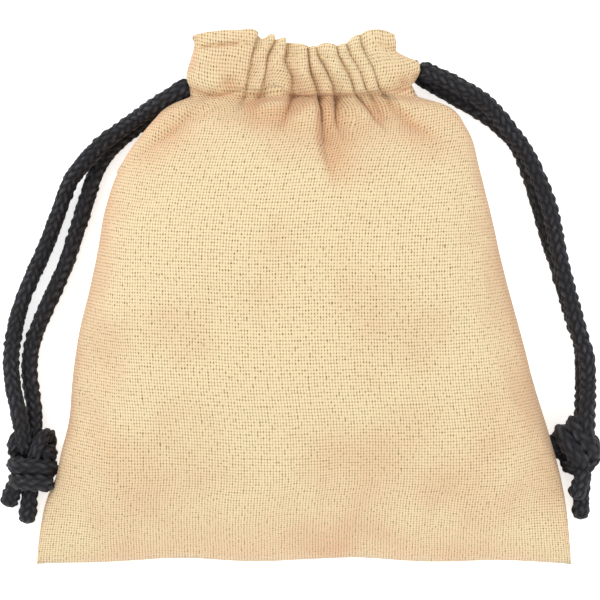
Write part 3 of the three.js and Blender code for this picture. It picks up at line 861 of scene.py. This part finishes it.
def run_cloth(piece):
    only(piece)
    bpy.ops.object.modifier_add(type="CLOTH")
    cloth = piece.modifiers[-1]
    cloth.settings.quality = 6
    cloth.settings.mass = 0.02
    cloth.settings.tension_stiffness = 12
    cloth.settings.compression_stiffness = 6
    cloth.settings.shear_stiffness = 3
    cloth.settings.bending_stiffness = 0.05
    cloth.settings.vertex_group_mass = "held"
    cloth.settings.shrink_min = -0.035
    cloth.settings.use_pressure = True
    cloth.settings.uniform_pressure_force = 14
    cloth.settings.effector_weights.gravity = 0
    cloth.point_cache.frame_end = SETTLE_FRAMES
    for frame_number in range(1, SETTLE_FRAMES + 1):
        bpy.context.scene.frame_set(frame_number)
    only(piece)
    bpy.ops.object.modifier_apply(modifier=cloth.name)
    found = np.empty(COARSE_ROWS * COARSE_COLUMNS * 3)
    piece.data.vertices.foreach_get("co", found)
    bpy.data.objects.remove(piece)
    bpy.context.scene.frame_set(1)
    return found.reshape(COARSE_ROWS, COARSE_COLUMNS, 3)


print("points in the coarse copy:", COARSE_ROWS * COARSE_COLUMNS)


# %% [markdown]
# The coarse movement is carried over to the fine sheet by straight interpolation and smoothed a few
# times.

# %% Spread the movement over the fine sheet
def settled(base, rows):
    row_at = np.linspace(0, rows - 1, COARSE_ROWS).round().astype(int)
    column_at = np.linspace(0, COLUMNS - 1, COARSE_COLUMNS).round().astype(int)
    coarse = base[np.ix_(row_at, column_at)]
    move = run_cloth(coarse_cloth(coarse)) - coarse
    size = np.linalg.norm(move, axis=2)
    print("cloth moved up to", round(size.max() * 1000, 2), "mm, mean", round(size.mean() * 1000, 2), "mm")
    move *= (SETTLE_LIMIT * np.tanh(size / SETTLE_LIMIT) / np.maximum(size, 1e-9))[..., None]
    # the outline is drawn already, so the cloth near it only moves up and down
    move[..., 0] *= smooth(0, 0.3, 1 - np.abs(column_share[column_at]))
    result = np.zeros_like(base)
    for k in range(3):
        fine = np.array([np.interp(np.arange(COLUMNS), column_at, line[:, k]) for line in move])
        for c in range(COLUMNS):
            result[:rows, c, k] = np.interp(np.arange(rows), row_at, fine[:, c])
    for _ in range(5):
        result[1:-1] = 0.25 * result[:-2] + 0.5 * result[1:-1] + 0.25 * result[2:]
        result[:, 1:-1] = 0.25 * result[:, :-2] + 0.5 * result[:, 1:-1] + 0.25 * result[:, 2:]
    return result


# %% [markdown]
# The weave is drawn on the UV map, so the map has to measure cloth and not table. On the body it follows
# the smooth form. In the gathers it follows the folds, evened out from row to row. The two flat parts
# beside them are each measured from a yarn of their own, so their yarns stay straight.

# %% Build the front sheet
LEFT_YARN_X = -15 * MM
RIGHT_YARN_X = 16 * MM


def from_column(lengths, column):
    return lengths - lengths[:, column: column + 1]


def weave_map(base, shaped, anchor):
    smooth_u = from_column(arc_lengths(base, 1), anchor)
    raw = arc_lengths(shaped, 1)
    folded_u = from_column(raw, anchor)
    for _ in range(60):
        folded_u[1:-1] = 0.25 * folded_u[:-2] + 0.5 * folded_u[1:-1] + 0.25 * folded_u[2:]
    x, y = base[..., 0] / MM, base[..., 1] / MM
    left_flat = x < np.interp(y, *np.array(GATHER_LINES[0]).T)
    right_flat = x > np.interp(y, *np.array(GATHER_LINES[-1]).T)
    for flat_part, yarn_x in ((left_flat, LEFT_YARN_X), (right_flat, RIGHT_YARN_X)):
        own_column = int(np.argmin(np.abs(mouth_at * HALF_MOUTH - yarn_x)))
        folded_u = np.where(flat_part, from_column(raw, own_column) + yarn_x, folded_u)
    # 99 mm is above everything, so nothing outside the mouth's width counts as the mouth
    at_mouth = (base[..., 1] > np.where(np.abs(x) < 22, waist_line(x), 99) * MM)
    down = arc_lengths(base, 0)
    down = 0.35 * down + 0.65 * down[:, anchor: anchor + 1]
    return np.stack([np.where(at_mouth, folded_u, smooth_u), down], axis=-1)


front_base, waist_row, fold_row = front_grid()
front_base = front_base + settled(front_base, waist_row)
front_points, front_shade = displaced(front_base, fold_row + 4)
front_uv = weave_map(front_base, front_points, COLUMNS // 2)


def keep_front(r, c):
    # past its first rows the facing is narrower than the casing
    return r < fold_row + 12 or abs(front_points[r, c, 0]) < FACING_HALF


front_sheet = mesh_from_grid("front_cloth", front_points, front_uv, keep=keep_front)
front_length = float(arc_lengths(front_points, 0)[-1, COLUMNS // 2])
print("front rows", front_points.shape[0], "cloth length", round(front_length, 4))


# %% [markdown]
# ## The back sheet
# The back is the same cut of cloth, but it lies flat on the table. It only turns up at the sides to meet
# the front at the seams, and its own casing is pressed flat. It is lofted from rows in the same way, with
# fewer columns, since little of it is seen.

# %% Rows of the back sheet
BACK_COLUMNS = 121
BACK_BODY_ROWS = 90
BACK_CASING_ROWS = 19
BACK_HEADER_ROWS = 7
BACK_FACING_ROWS = 13
BACK_CREASES = [
    ([(-9, 48), (-8.6, 43), (-7.8, 37), (-9, 30)], (0.4, 0.3, 0.1), 0.6, 1.6),
    ([(-3, 48), (-3.4, 42), (-2.6, 36), (-2, 28)], (0.4, 0.3, 0.1), 0.6, 1.6),
    ([(3, 48), (3.4, 42), (4.2, 36), (5, 26)], (0.4, 0.3, 0.1), 0.6, 1.6),
    ([(9, 48), (8.4, 43), (9.6, 37), (11, 31)], (0.4, 0.3, 0.1), 0.6, 1.6),
]


def back_section(y):
    v = (y - BOTTOM_Y) / PANEL_LENGTH
    slit = smooth(34.2 * MM, 38.4 * MM, y)
    rim = seam_at(v) * (1 - slit) + 1.3 * MM * slit
    low = 0.5 * MM + 0.2 * MM * slit
    # at the bottom seam the two sheets close on each other
    at_seam = 1 - smooth(BOTTOM_Y, BOTTOM_Y + 1.2 * MM, y)
    low = low + 0.3 * MM * at_seam
    rim = rim - 0.4 * MM * at_seam
    angle = np.linspace(-math.pi / 2, math.pi / 2, 801)
    across = np.sign(angle) * np.abs(np.sin(angle)) ** (2 / 4.5)
    up = np.minimum(1.1 * np.clip(np.cos(angle), 0, 1) ** (2 / 4.5), 1)
    x = across * np.where(across < 0, left_share(v), right_share(v)) * HALF_BOTTOM
    z = rim + (np.minimum(low, rim) - rim) * up
    dense = np.stack([x, np.full_like(x, y), z], axis=1)
    length = arc_lengths(dense, 0)
    even = np.linspace(0, length[-1], BACK_COLUMNS)
    return np.stack([np.interp(even, length, dense[:, k]) for k in range(3)], axis=1)


def back_grid():
    body_y = BOTTOM_Y + PANEL_LENGTH * np.linspace(0, 1, BACK_BODY_ROWS)
    body = np.array([back_section(y) for y in body_y])
    body[..., 1] += bottom_wave(body[..., 0], body[..., 1])
    x_mm = np.linspace(-20.9, 20.9, BACK_COLUMNS)
    waist, stitch = waist_line(x_mm), stitch_line(x_mm)
    edge = np.maximum(header_edge(x_mm) - 0.3, 46.1)
    upper = []

    def add(y, z):
        reach = np.where(x_mm < 0, -left_edge(y), right_edge(y)) / 20.9
        outer = smooth(9, 21, np.abs(x_mm))
        upper.append(np.stack([x_mm * (1 + (reach - 1.02) * outer), y, z + 0 * y], axis=1) * MM)

    for t in steps(BACK_CASING_ROWS):
        add(waist * (1 - t) + stitch * t, 0.75 - 0.2 * math.sin(math.pi * t))
    for t in steps(BACK_HEADER_ROWS):
        add(stitch * (1 - t) + edge * t, 0.75 + t)
    for t in steps(BACK_HEADER_ROWS):
        add(edge + 0.35 * math.sin(math.pi * t) - 0.5 * t * t, 1.75 + 0.75 * (1 - math.cos(math.pi * t)))
    facing = GAP_LOW_Z / MM
    for t in steps(BACK_FACING_ROWS):
        far = t**3
        add((edge - 0.5) * (1 - far) + (waist + 0.3) * far, 3.25 + (facing - 3.3) * smooth(0, 0.4, t))
    return np.concatenate([body, np.array(upper)])


back_stitch_row = BACK_BODY_ROWS + BACK_CASING_ROWS - 1
back_fold_row = back_stitch_row + 1 + BACK_HEADER_ROWS
print("rows up to the back header's fold:", back_fold_row)

# %% [markdown]
# The back gets four shallow creases and a small wave along its header. Its grid runs the other way
# across, so that its outer side faces the table.

# %% Build the back sheet
back_base = back_grid()
back_x, back_y = back_base[..., 0], back_base[..., 1]
mouth_wave = 0.7 * MM * np.sin(back_x / (1.15 * MM)) * smooth(45 * MM, 48 * MM, back_y)
back_points = back_base.copy()
back_points[..., 2] += crease_field(back_x, back_y, BACK_CREASES)
back_points[..., 2] += np.abs(mouth_wave)
# painted shade: its sides are as warm as the front's where they turn away from above
back_shade = shade_turned_away(np.abs(surface_normal(back_points)))[:, ::-1]
across_length = from_column(arc_lengths(back_points, 1), BACK_COLUMNS // 2)
back_uv = np.stack([across_length, arc_lengths(back_points, 0)], axis=-1)


def keep_back(r, c):
    return r < back_fold_row + 10 or abs(back_points[r, c, 0]) < FACING_HALF


back_sheet = mesh_from_grid("back_cloth", back_points[:, ::-1], back_uv[:, ::-1], keep=keep_back)
print("back rows", back_points.shape[0])

# %% [markdown]
# A sheet has no thickness of its own, so Solidify gives it one ply of muslin on the inner side. The
# surface that was shaped stays where it is. Points that no face uses are deleted first.

# %% Thickness
for sheet in (front_sheet, back_sheet):
    shade = sheet.data.attributes.new("fold_shade", "FLOAT", "POINT")
    values = front_shade if sheet is front_sheet else back_shade
    shade.data.foreach_set("value", values.reshape(-1).astype(np.float32)[: len(sheet.data.vertices)])
    only(sheet)
    bpy.ops.object.mode_set(mode="EDIT")
    bpy.ops.mesh.select_all(action="SELECT")
    bpy.ops.mesh.delete_loose()
    bpy.ops.object.mode_set(mode="OBJECT")
    bpy.ops.object.modifier_add(type="SOLIDIFY")
    thick = sheet.modifiers[-1]
    thick.thickness = CLOTH
    thick.offset = -1
    thick.use_even_offset = False
    bpy.ops.object.modifier_apply(modifier=thick.name)
    print(sheet.name, len(sheet.data.polygons), "faces")


# %% [markdown]
# ## Stitches
# A row of short thread stitches holds the fold of each header, front and back. Each stitch is a tiny bent
# tube laid in the cloth along its row, and a loop sets them one after another with a gap between.

# %% Stitch rows
def stitch_row(name, path, normal_z, gap=0.9 * MM, stitch=1.7 * MM):
    length = arc_lengths(path, 0)
    at = 1.0 * MM
    pieces = []
    while at + stitch < length[-1] - 0.5 * MM:
        s = np.linspace(at, at + stitch, 6)
        line = np.stack([np.interp(s, length, path[:, k]) for k in range(3)], axis=1)
        arch = np.sin(np.linspace(0, math.pi, 6)) * 0.22 * MM - 0.1 * MM
        line[:, 2] += arch * normal_z
        pieces.append(line)
        at += stitch + gap
    vertices = []
    faces = []
    sides = 6
    for line in pieces:
        tangent = np.gradient(line, axis=0)
        tangent /= np.linalg.norm(tangent, axis=1)[:, None]
        side = np.cross(tangent, (0, 0, 1.0))
        side /= np.linalg.norm(side, axis=1)[:, None]
        up = np.cross(side, tangent)
        first = len(vertices)
        for i in range(6):
            r = (0.09 if i in (0, 5) else 0.17) * MM
            for k in range(sides):
                a = 2 * math.pi * k / sides
                vertices.append(tuple(line[i] + r * (math.cos(a) * side[i] + math.sin(a) * up[i])))
        for i in range(5):
            for k in range(sides):
                n = (k + 1) % sides
                ring = first + i * sides
                faces.append((ring + n, ring + k, ring + sides + k, ring + sides + n))
        faces.append(tuple(first + k for k in range(sides)))
        faces.append(tuple(first + 5 * sides + k for k in reversed(range(sides))))
    mesh = bpy.data.meshes.new(name)
    mesh.from_pydata(vertices, [], faces)
    mesh.validate()
    mesh.update()
    mesh.shade_smooth()
    piece = bpy.data.objects.new(name, mesh)
    bpy.context.collection.objects.link(piece)
    print(name, len(pieces), "stitches")
    return piece


front_stitches = stitch_row("front_header_stitches", front_points[waist_row + CASING_ROWS - 1], 1)
back_stitches = stitch_row("back_header_stitches", back_points[back_stitch_row], -1)

# %% [markdown]
# ## Muslin
# Muslin is a plain weave of uneven cotton yarns with small gaps at the crossings, painted dark as shade.
# The pattern reads the cloth's own UV map, in metres, so the yarns follow every pleat. Yarns vary in
# weight, gaps vary in size, and painted shade makes the cloth warmer and darker in the folds, where light
# bounces between its sides.

# %% Node helpers
def shader(name):
    material = bpy.data.materials.new(name)
    material.use_nodes = True
    tree = material.node_tree
    return material, tree, tree.nodes["Principled BSDF"]


def math_node(tree, operation, a, b=None, clamp=False):
    node = tree.nodes.new("ShaderNodeMath")
    node.operation = operation
    node.use_clamp = clamp
    for socket, value in zip(node.inputs, (a, b)):
        if value is None:
            continue
        if isinstance(value, (int, float)):
            socket.default_value = value
        else:
            tree.links.new(value, socket)
    return node.outputs[0]


def times(tree, a, b, clamp=False):
    return math_node(tree, "MULTIPLY", a, b, clamp)


def above(tree, value, floor, gain, clamp=False):
    # how far a value stands over a floor, times a gain
    return times(tree, math_node(tree, "SUBTRACT", value, floor, clamp=True), gain, clamp)


def noise(tree, vector, scale, detail=2.0):
    node = tree.nodes.new("ShaderNodeTexNoise")
    node.inputs["Scale"].default_value = scale
    node.inputs["Detail"].default_value = detail
    tree.links.new(vector, node.inputs["Vector"])
    return node.outputs["Fac"]


def mix_colours(tree, factor, a, b):
    node = tree.nodes.new("ShaderNodeMix")
    node.data_type = "RGBA"
    tree.links.new(factor, node.inputs["Factor"])
    for socket, value in ((node.inputs[6], a), (node.inputs[7], b)):
        if isinstance(value, tuple):
            socket.default_value = (*value, 1)
        else:
            tree.links.new(value, socket)
    return node.outputs[2]


def raise_surface(tree, surface, height, strength, distance):
    bump = tree.nodes.new("ShaderNodeBump")
    bump.inputs["Strength"].default_value = strength
    bump.inputs["Distance"].default_value = distance
    tree.links.new(height, bump.inputs["Height"])
    tree.links.new(bump.outputs[0], surface.inputs["Normal"])


def own_map(tree):
    node = tree.nodes.new("ShaderNodeUVMap")
    node.uv_map = "cloth_uv"
    return node.outputs[0]


def object_place(tree):
    return tree.nodes.new("ShaderNodeTexCoord").outputs["Object"]


def attribute(tree, name):
    node = tree.nodes.new("ShaderNodeAttribute")
    node.attribute_name = name
    return node.outputs["Fac"]


def linear(r, g, b):
    return tuple((c / 255 / 12.92) if c <= 10 else ((c / 255 + 0.055) / 1.055) ** 2.4 for c in (r, g, b))


print("mid grey as a linear value:", round(linear(128, 128, 128)[0], 3))


# %% [markdown]
# A sine along each coordinate stands for the yarns: zero in the gap between two, one on top of each.
# Where the product of the two sines is positive one yarn lies over, and where it is negative the other
# does.

# %% Weave of the muslin
YARN_ACROSS = 0.53 * MM
YARN_ALONG = 0.60 * MM
UNEVEN = 0.55


def yarn_wave(tree, distance, wobble, pitch):
    # zero in the gap between two yarns, one or minus one on top of a yarn
    shift = times(tree, math_node(tree, "SUBTRACT", wobble, 0.5), UNEVEN * pitch)
    yarns = math_node(tree, "DIVIDE", math_node(tree, "ADD", distance, shift), pitch)
    return math_node(tree, "SINE", times(tree, yarns, math.pi))


def rounded_yarn(tree, own, other):
    return times(tree, math_node(tree, "POWER", own, 0.7), math_node(tree, "POWER", other, 0.25))


def plain_weave(tree, uv, place):
    split = tree.nodes.new("ShaderNodeSeparateXYZ")
    tree.links.new(uv, split.inputs[0])
    wave_u = yarn_wave(tree, split.outputs[0], noise(tree, place, 260), YARN_ACROSS)
    wave_v = yarn_wave(tree, split.outputs[1], noise(tree, place, 230), YARN_ALONG)
    yarn_u = math_node(tree, "ABSOLUTE", wave_u)
    yarn_v = math_node(tree, "ABSOLUTE", wave_v)
    # which yarn is on top flips from one crossing to the next
    flip = math_node(tree, "SIGN", times(tree, wave_u, wave_v))
    over = math_node(tree, "ADD", times(tree, flip, 0.5), 0.5)
    under = math_node(tree, "SUBTRACT", 1.0, over)
    top_u = times(tree, rounded_yarn(tree, yarn_u, yarn_v), over)
    top_v = times(tree, rounded_yarn(tree, yarn_v, yarn_u), under)
    return yarn_u, yarn_v, math_node(tree, "ADD", top_u, top_v)


def pinholes(tree, uv, yarn_u, yarn_v):
    # a pinhole sits where both yarns end, and opens wider at some crossings than at others
    edge = math_node(tree, "MAXIMUM", yarn_u, times(tree, yarn_v, 0.8))
    wide = above(tree, noise(tree, uv, 1500), 0.18, 3.6)
    return math_node(tree, "SUBTRACT", wide, times(tree, edge, 1.9), clamp=True)


print("yarns per centimetre:", round(0.01 / YARN_ACROSS, 1), "by", round(0.01 / YARN_ALONG, 1))


# %% [markdown]
# Colour goes on in layers: pale cotton, warmer in random patches and with painted shade in the folds,
# lighter where a yarn is thick, darker with painted shade in the gaps, and the pinholes' painted shade
# last.
# The height of the weave goes into the bump.

# %% Muslin material
def muslin(name, pale, warm, gap):
    material, tree, surface = shader(name)
    uv = own_map(tree)
    place = object_place(tree)
    yarn_u, yarn_v, height = plain_weave(tree, uv, place)
    patches = above(tree, noise(tree, place, 42, 3.0), 0.47, 2.2, clamp=True)
    # painted shade in the folds from the fold_shade numbers, mixed towards the same warm colour as the
    # random patches
    folds = times(tree, attribute(tree, "fold_shade"), 0.9)
    base = mix_colours(tree, math_node(tree, "ADD", patches, folds, clamp=True), pale, warm)
    # thick spots of a yarn catch more light
    lighter = tuple(min(c * 1.1, 1) for c in pale)
    slubs = above(tree, noise(tree, uv, 1500, 1.0), 0.45, 1.3, clamp=True)
    base = mix_colours(tree, slubs, base, lighter)
    # painted shade: the gaps between yarns are darker, and the pinholes darkest
    between = math_node(tree, "SUBTRACT", 1.0, height, clamp=True)
    base = mix_colours(tree, times(tree, between, 0.2, clamp=True), base, gap)
    beside = math_node(tree, "SUBTRACT", 0.6, yarn_u, clamp=True)
    base = mix_colours(tree, times(tree, beside, 0.14), base, gap)
    pinhole_shade = pinholes(tree, uv, yarn_u, yarn_v)
    base = mix_colours(tree, times(tree, pinhole_shade, 0.95, clamp=True), base, gap)
    tree.links.new(base, surface.inputs["Base Color"])
    fuzz = times(tree, noise(tree, place, 5200), 0.35)
    raise_surface(tree, surface, math_node(tree, "ADD", height, fuzz), 0.7, 0.16 * MM)
    surface.inputs["Roughness"].default_value = 0.92
    surface.inputs["Specular IOR Level"].default_value = 0.15
    surface.inputs["Sheen Weight"].default_value = 0.25
    surface.inputs["Sheen Roughness"].default_value = 0.5
    return material


# the warm colour serves both the cloth's random warm patches and the painted shade in its folds, and the
# gap colour is painted shade in the gaps and the pinholes
PALE = linear(242, 221, 178)
WARM_TONE_AND_SHADE = linear(228, 184, 142)
GAP_SHADE = linear(104, 76, 40)
cloth_material = muslin("muslin", PALE, WARM_TONE_AND_SHADE, GAP_SHADE)
print("muslin colours", [round(c, 3) for c in PALE])


# %% [markdown]
# ## Black braid
# The cord is soft matt yarn. Its colour is nearly black with a touch of blue, and each yarn is drawn as a
# bundle of fine fibres along its own slant. A painted highlight lightens the fibres on the tops of the
# yarns, painted shade darkens the low parts between them nearly to black, and the shader adds a weak sheen.

# %% Braid and thread materials
def braid(name):
    material, tree, surface = shader(name)
    place = object_place(tree)
    # noise stretched along the cord reads as fine fibres
    stretch = tree.nodes.new("ShaderNodeMapping")
    stretch.inputs["Scale"].default_value = (6200, 1100, 1)
    tree.links.new(own_map(tree), stretch.inputs[0])
    fibres = noise(tree, stretch.outputs[0], 1.0)
    strand = above(tree, fibres, 0.42, 3.2, clamp=True)
    # painted light from each yarn's height: a painted highlight on the fibres of the yarn tops, and painted
    # shade nearly black in the low parts between the yarns
    top = math_node(tree, "POWER", attribute(tree, "yarn_lift"), 1.6, clamp=True)
    mixed = mix_colours(tree, noise(tree, place, 900), linear(30, 30, 37), linear(44, 43, 50))
    mixed = mix_colours(tree, times(tree, strand, top, clamp=True), mixed, linear(92, 91, 100))
    mixed = mix_colours(tree, top, linear(9, 9, 12), mixed)
    tree.links.new(mixed, surface.inputs["Base Color"])
    raise_surface(tree, surface, fibres, 0.8, 0.14 * MM)
    surface.inputs["Roughness"].default_value = 0.65
    surface.inputs["Specular IOR Level"].default_value = 0.3
    surface.inputs["Sheen Weight"].default_value = 0.06
    return material


def sewing_thread(name):
    material, tree, surface = shader(name)
    place = object_place(tree)
    mixed = mix_colours(tree, noise(tree, place, 3000), linear(226, 198, 150), linear(242, 222, 182))
    tree.links.new(mixed, surface.inputs["Base Color"])
    raise_surface(tree, surface, noise(tree, place, 9000), 1.0, 0.05 * MM)
    surface.inputs["Roughness"].default_value = 0.6
    return material


braid_material = braid("black_braid")
thread_material = sewing_thread("sewing_thread")
print("materials:", [material.name for material in (cloth_material, braid_material, thread_material)])

# %% [markdown]
# ## Put the pieces on their bodies
# The back sheet and the back stitches stay with the pouch, and the front stitches go with the lip. The
# front sheet is left where it is, on no body. A drawstring's front strand follows the lip.

# %% Cloth and stitches on their bodies
def dress(piece, material):
    piece.data.materials.clear()
    piece.data.materials.append(material)


dress(front_sheet, cloth_material)
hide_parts("front_panel", "front_casing", "front_facing", "front_header")
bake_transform(front_sheet)
dress(back_sheet, cloth_material)
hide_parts("back_panel", "back_casing", "back_facing", "back_header")
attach(back_sheet, "pouch")
for piece, body, node in ((front_stitches, "front_lip", "front_stitching"),
                          (back_stitches, "pouch", "back_stitching")):
    dress(piece, thread_material)
    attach(piece, body)
    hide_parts(node)
for node in ("left_seam_allowance", "right_seam_allowance", "bottom_seam_allowance"):
    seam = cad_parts[node]
    seam.data.materials.clear()
    seam.data.materials.append(cloth_material)
print("sheets:", front_sheet.name, "and", back_sheet.name)

# %% [markdown]
# Every part of a drawstring goes with that drawstring, except for the strand inside the front casing,
# which follows the lip, and the turns and the front tails, which stay where they are on no body.

# %% Cords on their bodies
for name, piece in inner.items():
    side, face = name.split("_")[0], name.split("_")[1]
    dress(piece, braid_material)
    if face == "turn":
        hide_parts(f"{side}_upper_turn", f"{side}_lower_turn")
        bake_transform(piece)
    else:
        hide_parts(name)
        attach(piece, f"{side}_front_strand" if face == "front" else f"{side}_drawstring")

for side in SIDES:
    dress(knots[side], braid_material)
    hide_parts(f"{side}_knot")
    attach(knots[side], f"{side}_drawstring")
for name, piece in ends.items():
    dress(piece, braid_material)
    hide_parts(name)
    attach(piece, f"{name.split('_')[0]}_drawstring")

for name, (piece, line) in cords.items():
    side, face = name.split("_")[0], name.split("_")[1]
    dress(piece, braid_material)
    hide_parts(name)
    if face == "front":
        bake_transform(piece)
    else:
        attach(piece, f"{side}_drawstring")
    float(arc_lengths(line, 0)[-1])
print("cord pieces:", len(inner) + len(knots) + len(ends) + len(cords))

# %% [markdown]
# The flat width of the sheets is printed.

# %% Sheets
print("flat width of the sheets:", round(2 * HALF_BOTTOM / MM, 1), "mm")

# %% [markdown]
# ## Table and light
# A plain pale table under soft light from a wide window-like lamp at the upper left, with a weaker one
# opposite, so that the pleats show without hard shadows.

# %% Floor and lamps
bpy.ops.object.select_all(action="DESELECT")
bpy.ops.mesh.primitive_plane_add(size=1.6, location=(0, 0, -0.2 * MM))
floor = bpy.context.object
floor.name = "table_top"
floor_material, floor_tree, floor_surface = shader("pale_table")
floor_place = floor_tree.nodes.new("ShaderNodeTexCoord").outputs["Object"]
floor_tree.links.new(
    mix_colours(floor_tree, noise(floor_tree, floor_place, 30), (0.93, 0.93, 0.93), (0.97, 0.97, 0.97)),
    floor_surface.inputs["Base Color"])
floor_surface.inputs["Roughness"].default_value = 0.9
floor_surface.inputs["Emission Color"].default_value = (1, 1, 1, 1)
floor_surface.inputs["Emission Strength"].default_value = 0.6
floor.data.materials.append(floor_material)


def lamp(name, place, size, power):
    bpy.ops.object.light_add(type="AREA", location=place)
    light = bpy.context.object
    light.name = name
    light.data.size = size
    light.data.energy = power
    light.rotation_euler = (-Vector(place)).to_track_quat("-Z", "Y").to_euler()
    return light


lamp("window", (-0.42, 0.38, 0.62), 0.35, 2.3)
lamp("opposite", (0.5, -0.35, 0.5), 0.5, 1.3)
world = bpy.data.worlds.new("room")
bpy.context.scene.world = world
world.use_nodes = True
world.node_tree.nodes["Background"].inputs[0].default_value = (1, 1, 1, 1)
world.node_tree.nodes["Background"].inputs[1].default_value = 0.86
bpy.context.scene.view_settings.view_transform = "Standard"
